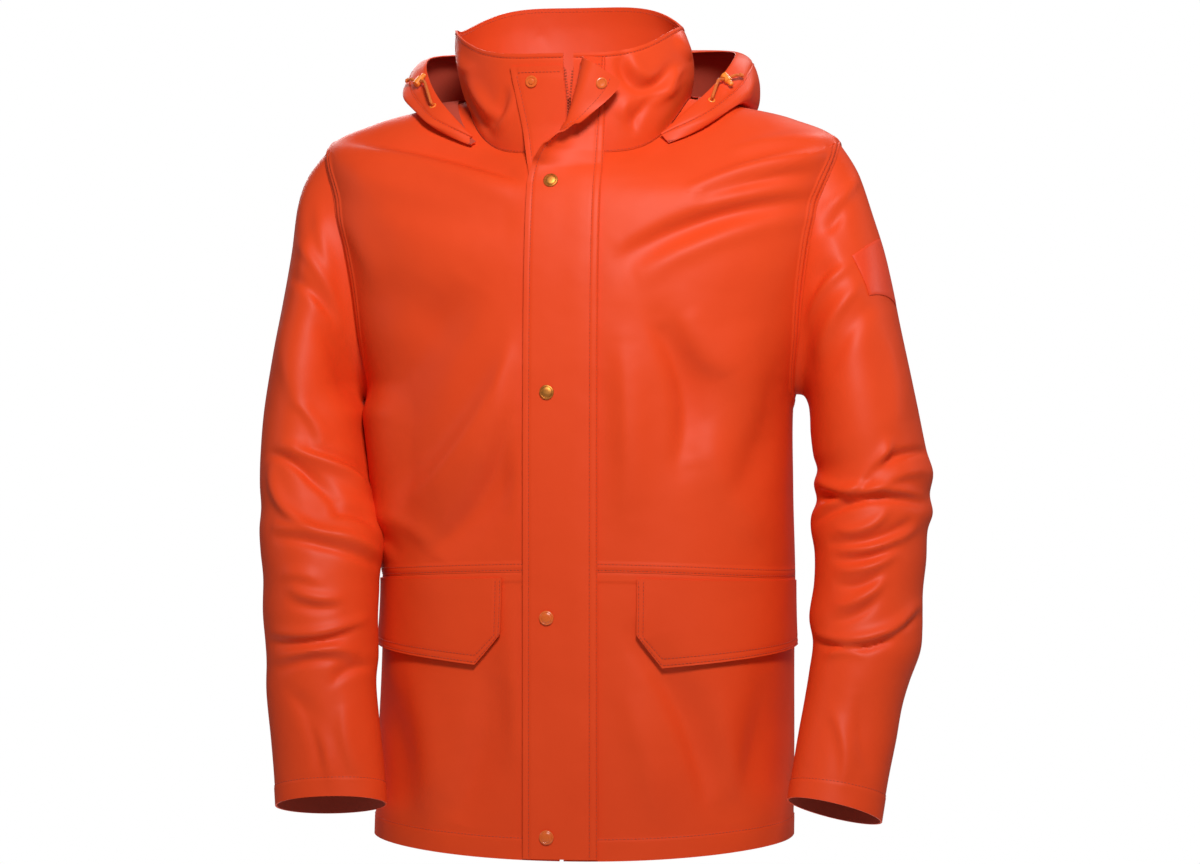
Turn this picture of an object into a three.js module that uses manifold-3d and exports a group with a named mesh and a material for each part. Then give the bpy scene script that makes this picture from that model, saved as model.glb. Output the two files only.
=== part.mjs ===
import * as THREE from 'three';
import { mergeVertices } from 'three/addons/utils/BufferGeometryUtils.js';
import Module from 'manifold-3d';

// A man's rain jacket of coated cloth, in the hollow form that it keeps when it is worn.
// Heights in the tables are above the front hem. +X is the wearer's left, -Y is the front.
// Everything is then lowered by HELD_HEIGHT, so that the origin is at the base of the neck.

const HELD_HEIGHT = 740;
const CLOTH = 2;
const SEAM_GAP = 0.3;
const STRIP_CLOTH = 1.4;

const FRONT_EDGE = 2;
const FLAP_SEAM_X = 35;
const NECK_V_BOTTOM = 728;
const NECK_V_TOP = 768;
const NECK_V_EDGE = 5;

const SNAP_ACROSS = 2.72;
const SNAP_HEIGHTS = [23, 233, 449, 652];
const SNAP_RADIUS = 7;
const SNAP_HEIGHT = 2.4;
const STUD_RADIUS = 6;
const STUD_X = -36;
const STUD_HEIGHT = 752;
const CORD_RADIUS = 1.5;
const EYELET_RADIUS = 3.6;
const EYELET_HOLE = 1.9;
const LOCK_RADIUS = 4.6;
const LOCK_LENGTH = 15;

const ORANGE = { color: 0xdf4a26, roughness: 0.42, metalness: 0 };
const BRASS = { color: 0xb8863a, roughness: 0.35, metalness: 0.9 };
const PAINTED = { color: 0xe8622e, roughness: 0.4, metalness: 0.3 };
const PLASTIC = { color: 0xf5893a, roughness: 0.45, metalness: 0 };
const TAPE = { color: 0xc2401f, roughness: 0.7, metalness: 0 };

function table(names, ...rows) {
  return rows.map(row => Object.fromEntries(names.map((name, i) => [name, row[i]])));
}

// Rings around the body, from the hem to the neck seam. half is the half width, front and back
// are the depths, square is how boxy the ring is, and lean moves the whole ring sideways.
const BODY = table(
  ['frontZ', 'sideZ', 'backZ', 'half', 'front', 'back', 'square', 'lean', 'rise'],
  [0, 12, 2, 209, 138, 120, 2.5, 2, 2],
  [95, 100, 95, 208, 138, 118, 2.5, 4, 2],
  [190, 188, 190, 206, 138, 116, 2.5, 6, 2],
  [277, 268, 275, 206, 138, 115, 2.45, 7, 2],
  [360, 357, 360, 206, 138, 118, 2.4, 5, 2],
  [447, 447, 447, 212, 137, 124, 2.35, 0, 2],
  [512, 515, 515, 228, 135, 130, 2.3, 0, 2],
  [567, 580, 580, 243, 131, 132, 2.3, 0, 2.2],
  [608, 642, 640, 254, 125, 129, 2.25, 0, 2.6],
  [636, 697, 690, 257, 118, 120, 2.2, 0, 3.2],
  [655, 721, 722, 212, 110, 107, 2.15, 0, 4],
  [670, 734, 742, 161, 101, 90, 2.1, -2, 4.5],
  [683, 743, 753, 112, 92, 72, 2, -3, 5],
);
const WAIST_ROW = 3;
const ARMPIT_ROW = 5;
const SHOULDER_ROW = 9;
const NECK_ROW = 12;
const ARMHOLE_TURN = THREE.MathUtils.degToRad(13.5);

// Sections down each sleeve, each from its outer point to its inner point as seen from the front.
// mid is how far back the middle lies, and deep is half the size from front to back.
const SLEEVE_COLUMNS = ['outX', 'outZ', 'inX', 'inZ', 'mid', 'deep'];
const LEFT_SLEEVE = table(
  SLEEVE_COLUMNS,
  [257, 697, 212, 447, 2, 58],
  [275, 668, 221, 446, 2, 66],
  [290, 625, 226, 437, 0, 73],
  [304, 579, 228, 424, -2, 78],
  [319, 507, 229, 408, -6, 80],
  [334, 438, 232, 388, -12, 78],
  [343, 395, 236, 374, -16, 74],
  [350, 371, 233, 360, -20, 71],
  [347, 350, 236, 344, -24, 69],
  [350, 332, 231, 329, -28, 68],
  [345, 314, 231, 315, -32, 66],
  [344, 286, 235, 293, -38, 65],
  [341, 255, 235, 264, -46, 63],
  [341, 220, 231, 232, -55, 60],
  [339, 198, 235, 207, -61, 58],
  [329, 170, 232, 180, -68, 55],
  [322, 145, 228, 153, -75, 52],
  [317, 114, 223, 122, -84, 48],
  [310, 76, 218, 86, -95, 45],
  [304, 36, 214, 55, -106, 42],
);
const RIGHT_SLEEVE = table(
  SLEEVE_COLUMNS,
  [257, 697, 212, 447, 2, 58],
  [277, 672, 221, 446, 2, 66],
  [287, 644, 226, 437, 0, 73],
  [293, 598, 227, 423, -2, 78],
  [301, 545, 226, 407, -7, 81],
  [311, 484, 223, 391, -14, 80],
  [317, 433, 220, 375, -24, 77],
  [318, 390, 217, 358, -36, 73],
  [316, 360, 213, 342, -48, 70],
  [312, 337, 205, 326, -60, 67],
  [311, 315, 197, 305, -72, 65],
  [308, 293, 192, 283, -80, 63],
  [304, 268, 190, 259, -86, 61],
  [303, 235, 190, 230, -92, 59],
  [300, 205, 189, 206, -94, 57],
  [298, 186, 188, 190, -98, 54],
  [297, 156, 189, 164, -103, 51],
  [291, 110, 183, 118, -110, 47],
  [287, 74, 178, 82, -115, 44],
  [284, 42, 175, 48, -120, 41],
);
const CAP_ROWS = 5;

// Rings of the stand collar, from the neck seam to its top edge, which is higher at the back.
const COLLAR = table(
  ['frontZ', 'sideZ', 'backZ', 'half', 'front', 'back', 'square', 'lean', 'rise'],
  [683, 743, 753, 112, 92, 72, 2, -3, 5],
  [706, 760, 776, 117, 92, 80, 2.1, -5, 4.5],
  [731, 778, 800, 119, 92, 84, 2.15, -7, 4],
  [756, 796, 824, 118, 93, 85, 2.2, -10, 4],
  [779, 814, 846, 114, 95, 82, 2.2, -13, 4],
);
const COLLAR_TOP = 4;
const COLLAR_FRONT_TOP = 779;

// Sections of the hood, from its front end round to the centre back. The rim, the casing's lower
// edge and the outside are given by their reach from the middle and their height, and the lowest
// point, the inside and the neck seam by a row of the body and how far they lie outside it.
const HOOD = table(
  ['turn', 'rimReach', 'rimUp', 'bandReach', 'bandUp', 'outReach', 'outUp',
    'lowRow', 'lowOff', 'inRow', 'inOff', 'seamRow'],
  [56, 118, 712, 127, 706, 131, 701, 11.36, 3, 11.5, 2.4, 11.66],
  [68, 129, 729, 142, 721, 147, 715, 11.22, 3, 11.45, 2.4, 11.68],
  [79, 139, 748, 154, 738, 161, 732, 11.05, 3, 11.35, 2.4, 11.72],
  [89, 149, 767, 166, 756, 175, 748, 10.9, 4, 11.3, 3, 11.76],
  [98, 158, 784, 174, 773, 181, 759, 10.75, 5, 11.3, 4, 11.86],
  [109, 163, 795, 181, 786, 190, 756, 10.3, 8, 11.1, 6, 11.86],
  [123, 154, 800, 174, 793, 195, 738, 9.5, 15, 10.6, 8, 11.86],
  [141, 140, 802, 161, 796, 194, 714, 8.4, 26, 9.9, 12, 11.86],
  [161, 132, 803, 153, 797, 193, 697, 7.8, 32, 9.5, 14, 11.86],
  [180, 130, 803, 151, 797, 193, 690, 7.6, 34, 9.3, 14, 11.86],
);
const HOOD_LEAN = -7;
const HOOD_SWAY = [1, 1, 1, 0.5, 0.4, 0.4];
const HOOD_CLOTH = 1.2;

// Broad folds of the fronts and the back: a line from one point to another as seen from the
// front, its width, and how far it stands out, or in where that is negative.
const FOLDS = table(
  ['face', 'x1', 'z1', 'x2', 'z2', 'wide', 'out'],
  ['front', 245, 690, 110, 665, 16, 5],
  ['front', 235, 650, 80, 590, 22, -6],
  ['front', 225, 600, 95, 555, 24, 5],
  ['front', -225, 705, -45, 672, 15, -5],
  ['front', -215, 668, -70, 650, 20, 4],
  ['front', -60, 470, -165, 315, 34, 6],
  ['front', -115, 520, -195, 420, 26, -5],
  ['front', 90, 520, 95, 400, 38, -7],
  ['front', 150, 500, 165, 380, 30, 5],
  ['front', 75, 150, 140, 30, 28, -7],
  ['front', 185, 140, 180, 20, 24, -7],
  ['front', -100, 140, -75, 40, 34, 5],
  ['front', -185, 140, -150, 20, 28, -5],
  ['back', 150, 640, 40, 470, 34, -7],
  ['back', -150, 630, -45, 450, 34, -7],
  ['back', 60, 420, 110, 120, 34, 6],
  ['back', -70, 380, -120, 90, 34, 6],
  ['back', 0, 300, 10, 60, 30, -6],
  ['back', 185, 420, 120, 330, 24, 5],
  ['back', -185, 410, -120, 330, 24, 5],
);

// Folds of a sleeve: where each starts and ends, as a section number and as a turn from the
// inner side by way of the front, its width along the sleeve, and how far it stands out.
const LEFT_SLEEVE_FOLDS = table(
  ['row1', 'turn1', 'row2', 'turn2', 'wide', 'out'],
  [3.2, 40, 2.2, 130, 0.35, -4],
  [4.6, 20, 3.4, 110, 0.35, 4],
  [6.8, 20, 5.8, 200, 0.55, 4],
  [8.4, 10, 7.6, 190, 0.5, -4],
  [9.4, 30, 8.8, 180, 0.5, 5],
  [10.6, 0, 10, 170, 0.5, -4],
  [12.2, 30, 11.2, 150, 0.6, 3],
  [14.6, 20, 13.6, 170, 0.6, -4],
  [8.5, 210, 8, 340, 0.6, 4],
  [11.5, 200, 11, 330, 0.7, -4],
);
const RIGHT_SLEEVE_FOLDS = table(
  ['row1', 'turn1', 'row2', 'turn2', 'wide', 'out'],
  [4.4, 30, 2.8, 150, 0.4, -4],
  [5.6, 20, 4.6, 120, 0.4, 3],
  [8.6, 30, 6.8, 170, 0.6, 6],
  [9.4, 20, 8.2, 170, 0.5, -5],
  [10.2, 10, 8.9, 160, 0.5, 5],
  [11.6, 20, 10.6, 150, 0.5, -3],
  [14.2, 20, 13.6, 170, 0.5, 4],
  [15.2, 10, 14.8, 160, 0.5, -4],
  [8.5, 210, 8, 340, 0.6, 4],
  [11.5, 200, 11, 330, 0.7, -4],
);

// The storm flap across its width at rising heights: x and the lift off the front, at four places
// from the sewn edge to the free edge, and how far the turned part hangs down.
const STORM_FLAP = table(
  ['up', 'x1', 'lift1', 'x2', 'lift2', 'x3', 'lift3', 'x4', 'lift4', 'drop3', 'drop4'],
  [2, 17, 0, -1, 0, -19, 0, -37, 0, 0, 0],
  [630, 17, 0, -1, 0, -19, 0, -37, 0, 0, 0],
  [660, 17, 0, -1, 0, -19, 0, -37, 0, 0, 0],
  [678, 17, 0, 0, 3, -15, 10, -22, 22, 0, 0],
  [700, 18, 0, 5, 5, -4, 15, 2, 26, 0, 2],
  [728, 22, 0, 6, 4, 7, 15, 28, 17, 2, 4],
  [752, 25, 0, 11, 5, 17, 16, 41, 14, 4, 14],
  [775, 28, 0, 15, 5, 23, 16, 46, 12, 7, 26],
);

const POCKET_FLAPS = table(
  ['name', 'side', 'top', 'straight', 'low', 'outerLow'],
  ['pocket_flap_right', -1, 273, 217, 187, 204],
  ['pocket_flap_left', 1, 273, 217, 185, 202],
);

const vec = (x, y, z) => new THREE.Vector3(x, y, z);
const degrees = THREE.MathUtils.degToRad;
const mix = THREE.MathUtils.lerp;

// The smooth value of a column at a row number, which may lie between rows.
function between(rows, at, name) {
  const last = rows.length - 1;
  const i = THREE.MathUtils.clamp(Math.floor(at), 0, last - 1);
  const f = at - i;
  const value = k => rows[THREE.MathUtils.clamp(k, 0, last)][name];
  const [a, b, c, d] = [value(i - 1), value(i), value(i + 1), value(i + 2)];
  return b + 0.5 * f * (c - a + f * (2 * a - 5 * b + 4 * c - d + f * (3 * (b - c) + d - a)));
}

// The value of a column at a height, on a straight line between the two nearest rows.
function atHeight(rows, up, name) {
  const above = rows.find((row, i) => i > 0 && row.up >= up) ?? rows.at(-1);
  const below = rows[rows.indexOf(above) - 1];
  return mix(below[name], above[name], (up - below.up) / (above.up - below.up));
}

// A point of a ring, at a turn from the centre front towards the wearer's left.
function ringPoint(rows, at, turn) {
  const value = name => between(rows, at, name);
  const [s, c] = [Math.sin(turn), Math.cos(turn)];
  const half = value('half');
  const depth = value(c > 0 ? 'front' : 'back');
  const square = value('square');
  const reach = (Math.abs(s / half) ** square + Math.abs(c / depth) ** square) ** (-1 / square);
  const centreZ = value(c > 0 ? 'frontZ' : 'backZ');
  const z = mix(centreZ, value('sideZ'), Math.abs(reach * s / half) ** value('rise'));
  return vec(value('lean') + reach * s, -reach * c, z);
}

// How far the body's folds push the cloth out at a point.
function foldOut(p) {
  const face = p.y < 0 ? 'front' : 'back';
  let out = 0;
  for (const fold of FOLDS.filter(f => f.face === face)) {
    const [dx, dz] = [fold.x2 - fold.x1, fold.z2 - fold.z1];
    const along = ((p.x - fold.x1) * dx + (p.z - fold.z1) * dz) / (dx * dx + dz * dz);
    const t = THREE.MathUtils.clamp(along, 0, 1);
    const away = Math.hypot(p.x - fold.x1 - t * dx, p.z - fold.z1 - t * dz) / fold.wide;
    out += fold.out * Math.exp(-away * away) * (0.35 + 0.65 * Math.sin(Math.PI * t));
  }
  return out * THREE.MathUtils.smoothstep(Math.abs(p.x), 20, 60)
    * THREE.MathUtils.smoothstep(Math.abs(p.y), 0, 40);
}

function normalOf(surface, u, v, step = 0.01) {
  const across = surface(u + step, v).sub(surface(u - step, v));
  const along = surface(u, v + step).sub(surface(u, v - step));
  return across.cross(along).normalize();
}

const plainBody = (turn, row) => ringPoint(BODY, row, turn);

function bodyNormal(turn, row) {
  return normalOf(plainBody, turn, row);
}

// A point of the body's outer face, or that far outside it.
function bodyPoint(turn, row, off = 0) {
  const p = plainBody(turn, row);
  return p.addScaledVector(bodyNormal(turn, row), foldOut(p) + off);
}

const steps = (from, to, count) => Array.from({ length: count + 1 }, (_, i) => mix(from, to, i / count));

// A closed wall from its outer and inner points, laid out in rows. A ring wall's rows close on
// themselves, and any other wall has an edge all round.
function wall(outer, inner, ring = false) {
  const rows = outer.length;
  const columns = outer[0].length;
  const positions = [...outer.flat(), ...inner.flat()].flatMap(p => [p.x, p.y, p.z]);
  const at = (r, c, side) => side * rows * columns + r * columns + (c % columns);
  const index = [];
  const quad = (a, b, c, d) => index.push(a, b, c, a, c, d);
  const spans = ring ? columns : columns - 1;
  for (let r = 0; r < rows - 1; r += 1) {
    for (let c = 0; c < spans; c += 1) {
      quad(at(r, c, 0), at(r, c + 1, 0), at(r + 1, c + 1, 0), at(r + 1, c, 0));
      quad(at(r, c, 1), at(r + 1, c, 1), at(r + 1, c + 1, 1), at(r, c + 1, 1));
    }
  }
  for (let c = 0; c < spans; c += 1) {
    quad(at(0, c, 0), at(0, c, 1), at(0, c + 1, 1), at(0, c + 1, 0));
    const r = rows - 1;
    quad(at(r, c, 1), at(r, c, 0), at(r, c + 1, 0), at(r, c + 1, 1));
  }
  for (let r = 0; r < rows - 1 && !ring; r += 1) {
    quad(at(r, 0, 1), at(r, 0, 0), at(r + 1, 0, 0), at(r + 1, 0, 1));
    const c = columns - 1;
    quad(at(r, c, 0), at(r, c, 1), at(r + 1, c, 1), at(r + 1, c, 0));
  }
  return facingOut(positions, index);
}

function facingOut(positions, index) {
  const corner = i => vec(...positions.slice(3 * i, 3 * i + 3));
  let volume = 0;
  for (let i = 0; i < index.length; i += 3) {
    const [a, b, c] = index.slice(i, i + 3).map(corner);
    volume += a.dot(b.cross(c));
  }
  if (volume < 0) index.reverse();
  const geometry = new THREE.BufferGeometry();
  geometry.setAttribute('position', new THREE.Float32BufferAttribute(positions, 3));
  geometry.setIndex(index);
  return geometry;
}

const group = new THREE.Group();
group.position.z = -HELD_HEIGHT;

function add(name, geometry, finish) {
  geometry.computeVertexNormals();
  const mesh = new THREE.Mesh(geometry, new THREE.MeshStandardMaterial(finish));
  mesh.name = name;
  group.add(mesh);
  return mesh;
}

// Half the armhole's width as a turn, at a row of the body.
function armholeTurn(row) {
  const share = (row - ARMPIT_ROW) / (SHOULDER_ROW - ARMPIT_ROW);
  return share <= 0 || share >= 1 ? 0 : ARMHOLE_TURN * Math.sqrt(Math.sin(Math.PI * share));
}

// Fronts: from the zip edge to the side seam, the armhole and the shoulder seam.
const ARM_STEPS = 10;
const LOWER_ROWS = steps(0, WAIST_ROW, 8);
const UPPER_ROWS = [
  ...steps(WAIST_ROW, ARMPIT_ROW, 6),
  ...steps(ARMPIT_ROW, SHOULDER_ROW, ARM_STEPS).slice(1),
  ...steps(SHOULDER_ROW, NECK_ROW, 5).slice(1),
];
const FRONT_COLUMNS = [0, 0.09, 0.18, 0.275, 0.375, 0.47, 0.56, 0.65, 0.74, 0.83, 0.92, 1];

function sideTurn(row) {
  const half = between(BODY, row, 'half');
  return Math.PI / 2 - armholeTurn(row) - SEAM_GAP / 2 / half;
}

function frontPanel(side, rows, gapAtTop, gapAtFoot) {
  const rowHeight = 90;
  const gapRows = SEAM_GAP / 2 / rowHeight;
  const last = rows.length - 1;
  const trimmed = rows.map((row, i) => {
    if (i === last && gapAtTop) return row - gapRows;
    return i === 0 && gapAtFoot ? row + gapRows : row;
  });
  const turnAt = (share, row) => {
    const lean = between(BODY, row, 'lean');
    const edge = (FRONT_EDGE - side * lean) / between(BODY, row, 'front');
    return side * mix(Math.atan(edge), sideTurn(row), share);
  };
  const outer = trimmed.map(row => FRONT_COLUMNS.map(c => bodyPoint(turnAt(c, row), row)));
  const inner = trimmed.map(row => FRONT_COLUMNS.map(c => bodyPoint(turnAt(c, row), row, -CLOTH)));
  return wall(outer, inner);
}

for (const [side, hand] of [[-1, 'right'], [1, 'left']]) {
  add(`front_${hand}_lower`, frontPanel(side, LOWER_ROWS, true, false), ORANGE);
  add(`front_${hand}_upper`, frontPanel(side, UPPER_ROWS, false, true), ORANGE);
}

// Back: one panel from side seam to side seam, with an armhole at each side.
const BACK_COLUMNS = steps(0, 1, 18);

function backPanel() {
  const rows = [...LOWER_ROWS, ...UPPER_ROWS.slice(1)];
  const turnAt = (share, row) => mix(Math.PI - sideTurn(row), Math.PI + sideTurn(row), share);
  const outer = rows.map(row => BACK_COLUMNS.map(c => bodyPoint(turnAt(c, row), row)));
  const inner = rows.map(row => BACK_COLUMNS.map(c => bodyPoint(turnAt(c, row), row, -CLOTH)));
  return wall(outer, inner);
}

add('back', backPanel(), ORANGE);

// Sleeves: the first section is the armhole itself, and the next few ease into the tube.
const SLEEVE_STEPS = 2 * ARM_STEPS;

function armholePlace(side, step) {
  const easedIn = 0.994;
  const up = step <= ARM_STEPS ? step : SLEEVE_STEPS - step;
  const middle = (ARMPIT_ROW + SHOULDER_ROW) / 2;
  const row = mix(ARMPIT_ROW, SHOULDER_ROW, up / ARM_STEPS);
  const towardsFront = step <= ARM_STEPS ? -1 : 1;
  const turn = Math.PI / 2 + towardsFront * armholeTurn(row) * easedIn;
  return [side * turn, middle + (row - middle) * easedIn];
}

// Each cuff hangs with the front of its edge higher than the back.
const CUFF_TIP = 13;
const CUFF_TIP_MIDDLE = 0.25;
const CUFF_TIP_START = 16;

function sleeveSection(rows, side, at, turn) {
  const value = name => between(rows, at, name);
  const middle = vec(side * (value('outX') + value('inX')) / 2, value('mid'),
    (value('outZ') + value('inZ')) / 2);
  const across = vec(side * (value('outX') - value('inX')) / 2, 0,
    (value('outZ') - value('inZ')) / 2);
  const tip = CUFF_TIP * THREE.MathUtils.smoothstep(at, CUFF_TIP_START, rows.length - 1);
  return middle.addScaledVector(across, -Math.cos(turn))
    .addScaledVector(vec(0, -1, 0), value('deep') * Math.sin(turn))
    .addScaledVector(vec(0, 0, 1), tip * (Math.sin(turn) + CUFF_TIP_MIDDLE));
}

function sleeveFold(folds, at, turn) {
  const here = THREE.MathUtils.radToDeg(turn);
  let out = 0;
  for (const fold of folds) {
    const share = (here - fold.turn1) / (fold.turn2 - fold.turn1);
    if (share <= 0 || share >= 1) continue;
    const away = (at - mix(fold.row1, fold.row2, share)) / fold.wide;
    out += fold.out * Math.exp(-away * away) * Math.sin(Math.PI * share);
  }
  return out;
}

function sleevePoint(rows, folds, side, at, step, off) {
  const turn = 2 * Math.PI * step / SLEEVE_STEPS;
  const shape = (t, r) => sleeveSection(rows, side, r, t);
  const normal = normalOf(shape, turn, Math.max(at, 0.02)).multiplyScalar(-side);
  const eased = THREE.MathUtils.smoothstep(CAP_ROWS - at, 0, CAP_ROWS);
  const hole = bodyPoint(...armholePlace(side, step)).sub(shape(turn, 0));
  const seam = bodyNormal(...armholePlace(side, step)).add(normal).normalize();
  const out = sleeveFold(folds, at, turn) * (1 - eased) + off;
  if (at === 0) return shape(turn, 0).add(hole).addScaledVector(seam, off);
  return shape(turn, at).addScaledVector(hole, eased).addScaledVector(normal, out);
}

function sleeve(rows, folds, side) {
  const stepsRound = Array.from({ length: SLEEVE_STEPS }, (_, i) => i);
  const layer = off => rows.map((_, at) =>
    stepsRound.map(step => sleevePoint(rows, folds, side, at, step, off)));
  return wall(layer(0), layer(-CLOTH), true);
}

add('sleeve_right', sleeve(RIGHT_SLEEVE, RIGHT_SLEEVE_FOLDS, -1), ORANGE);
add('sleeve_left', sleeve(LEFT_SLEEVE, LEFT_SLEEVE_FOLDS, 1), ORANGE);

// Collar: one band round the neck, open at the front in a narrow V above the closed zip.
const frontTurns = FRONT_COLUMNS.map(c => c * Math.PI / 2);
const backTurns = BACK_COLUMNS.map(c => Math.PI * (0.5 + c));
const otherFrontTurns = frontTurns.map(turn => 2 * Math.PI - turn).reverse();
const COLLAR_TURNS = [...frontTurns, ...backTurns.slice(1), ...otherFrontTurns.slice(1)];
const COLLAR_ROWS = [0, 1, 2, 3, COLLAR_TOP];

const plainCollar = (turn, row) => ringPoint(COLLAR, row, turn);

function neckVee(up) {
  const share = THREE.MathUtils.smoothstep(up, NECK_V_BOTTOM, NECK_V_TOP);
  return mix(FRONT_EDGE, NECK_V_EDGE, share);
}

function collarPoint(place, row, off) {
  const side = place < Math.PI ? 1 : -1;
  const fromFront = Math.abs(place < Math.PI ? place : 2 * Math.PI - place);
  const value = name => between(COLLAR, row, name);
  const edge = Math.atan((neckVee(value('frontZ')) - side * value('lean')) / value('front'));
  const eased = fromFront > Math.PI / 2 ? fromFront : mix(edge, Math.PI / 2, fromFront * 2 / Math.PI);
  const turn = side > 0 ? eased : 2 * Math.PI - eased;
  if (row > 0) return plainCollar(turn, row).addScaledVector(normalOf(plainCollar, turn, row), off);
  const seam = bodyPoint(turn, NECK_ROW);
  const upwards = seam.clone().sub(bodyPoint(turn, NECK_ROW - 0.1)).normalize();
  const outwards = bodyNormal(turn, NECK_ROW).add(normalOf(plainCollar, turn, 0)).normalize();
  return seam.addScaledVector(upwards, SEAM_GAP).addScaledVector(outwards, off);
}

function gridWall(columns, rows, at, thick) {
  const layer = off => rows.map(row => columns.map(column => at(column, row, off)));
  return wall(layer(0), layer(-thick));
}

add('collar', gridWall(COLLAR_TURNS, COLLAR_ROWS, collarPoint, CLOTH), ORANGE);

// Hood: sewn to the neck seam, lying open behind the collar with its casing round the rim.
const HOOD_STEPS = steps(1 - HOOD.length, HOOD.length - 1, 30);
const BAND_EDGE = 1;

function hoodShape(across, place) {
  const row = HOOD.length - 1 - Math.abs(place);
  const side = place < 0 ? -1 : 1;
  const value = name => between(HOOD, row, name);
  const turn = degrees(value('turn'));
  const free = (reach, up) => vec(value(reach) * Math.sin(turn), -value(reach) * Math.cos(turn), value(up));
  const onBody = (at, off) => {
    const p = plainBody(turn, at).addScaledVector(bodyNormal(turn, at), off);
    return p.setX(p.x - between(BODY, at, 'lean'));
  };
  const line = [
    free('rimReach', 'rimUp'), free('bandReach', 'bandUp'), free('outReach', 'outUp'),
    onBody(value('lowRow'), value('lowOff')), onBody(value('inRow'), value('inOff')),
    onBody(value('seamRow'), 1.8),
  ].map((p, i) => ({ x: side * p.x + HOOD_LEAN * HOOD_SWAY[i], y: p.y, z: p.z }));
  return vec(between(line, across, 'x'), between(line, across, 'y'), between(line, across, 'z'));
}

function hoodPoint(across, place, off) {
  const step = 0.01;
  const clear = THREE.MathUtils.clamp(place, step - HOOD.length + 1, HOOD.length - 1 - step);
  const sideways = hoodShape(across + step, clear).sub(hoodShape(across - step, clear));
  const round = hoodShape(across, clear + step).sub(hoodShape(across, clear - step));
  return hoodShape(across, place).addScaledVector(round.cross(sideways).normalize(), off);
}

const hoodWall = across => gridWall(across, HOOD_STEPS, hoodPoint, HOOD_CLOTH);
const HOOD_ACROSS = [BAND_EDGE + 0.02, 1.5, 2, 2.5, 3, 3.5, 4, 4.5, 5];
add('hood_casing', hoodWall([0, BAND_EDGE / 2, BAND_EDGE]), ORANGE);
add('hood', hoodWall(HOOD_ACROSS), ORANGE);

// The front face at a distance from the centre line, on the body or, above the neck seam, the collar.
function frontRow(x, at) {
  const [rows, row] = at < NECK_ROW ? [BODY, at] : [COLLAR, at - NECK_ROW];
  const value = name => between(rows, row, name);
  const share = Math.abs((x - value('lean')) / value('half'));
  const y = -value('front') * (1 - share ** value('square')) ** (1 / value('square'));
  return vec(x, y, mix(value('frontZ'), value('sideZ'), share ** value('rise')));
}

function frontSpot(x, up) {
  let [low, high] = [-0.5, NECK_ROW + COLLAR_TOP + 0.5];
  for (let i = 0; i < 30; i += 1) {
    const middle = (low + high) / 2;
    if (frontRow(x, middle).z < up) low = middle;
    else high = middle;
  }
  return frontRow(x, low);
}

// The same face with the hollow at the neck seam bridged, as a stiff double strip does.
function bridged(x, up) {
  const reach = 26;
  const heights = [-1, -0.5, 0, 0.5, 1].map(share => up + share * reach);
  const depths = heights.map(z => frontSpot(x, THREE.MathUtils.clamp(z, 0, COLLAR_FRONT_TOP)).y);
  const mean = depths.reduce((total, y) => total + y, 0) / depths.length;
  return vec(x, Math.min(mean, frontSpot(x, up).y), up);
}

function stripPoint(face, x, up, off) {
  const sideways = face(x + 1, up).sub(face(x - 1, up));
  const upwards = face(x, up + 1).sub(face(x, up - 1));
  return face(x, up).addScaledVector(sideways.cross(upwards).normalize(), off);
}

// Zip: a tape behind each front edge, from the hem to the top of the collar.
const NECK_SEAM_HEIGHT = 683;
const ZIP_FOOT = 14;
const ZIP_TOP = 766;
const TAPE_WIDTH = 13;
const TAPE_THICK = 1;
for (const [side, hand] of [[-1, 'right'], [1, 'left']]) {
  const across = (share, up) => side * (neckVee(up) - 0.5 + share * TAPE_WIDTH);
  const behind = -CLOTH - 1.1;
  const rows = [...steps(ZIP_FOOT, NECK_SEAM_HEIGHT, 24), ...steps(NECK_SEAM_HEIGHT, ZIP_TOP, 5).slice(1)];
  const at = (share, up, off) => stripPoint(frontSpot, across(share, up), up, behind + off);
  add(`zip_tape_${hand}`, gridWall([0, 1], rows, at, TAPE_THICK), TAPE);
}

// Under placket: the strip on the wearer's right front that carries the studs.
const UNDER_PLACKET = table(
  ['up', 'outer'],
  [2, 33],
  [600, 33],
  [652, 35],
  [680, 41],
  [706, 45],
  [767, 58],
);
const PLACKET_OFF = 0.8 + STRIP_CLOTH;
const BEND_HEIGHT = 560;
const placketRows = [...steps(2, BEND_HEIGHT, 13), ...steps(BEND_HEIGHT, 767, 14).slice(1)];

function placketPoint(share, up, off) {
  const x = -mix(neckVee(up) + 0.6, atHeight(UNDER_PLACKET, up, 'outer'), share);
  return stripPoint(bridged, x, up, PLACKET_OFF + off);
}

add('under_placket', gridWall([0, 0.5, 1], placketRows, placketPoint, STRIP_CLOTH), ORANGE);

// Storm flap: sewn along the wearer's left, with its free corner at the collar turned back.
const FLAP_OFF = PLACKET_OFF + SEAM_GAP + STRIP_CLOTH;
const flapRows = [...steps(2, BEND_HEIGHT, 13), ...steps(BEND_HEIGHT, 660, 6).slice(1),
  ...steps(660, 775, 11).slice(1)];

function flapShape(across, up) {
  const value = name => atHeight(STORM_FLAP, up, name);
  const line = [
    { x: FLAP_SEAM_X, lift: PLACKET_OFF - FLAP_OFF, drop: 0 },
    { x: value('x1'), lift: value('lift1'), drop: 0 },
    { x: value('x2'), lift: value('lift2'), drop: 0 },
    { x: value('x3'), lift: value('lift3'), drop: value('drop3') },
    { x: value('x4'), lift: value('lift4'), drop: value('drop4') },
  ];
  const p = stripPoint(bridged, between(line, across, 'x'), up, FLAP_OFF + between(line, across, 'lift'));
  return p.setZ(p.z - between(line, across, 'drop'));
}

function flapPoint(across, up, off) {
  return flapShape(across, up).addScaledVector(normalOf(flapShape, across, up, 0.05), -off);
}

add('storm_flap', gridWall(steps(0, 4, 9), flapRows, flapPoint, STRIP_CLOTH), ORANGE);

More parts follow.
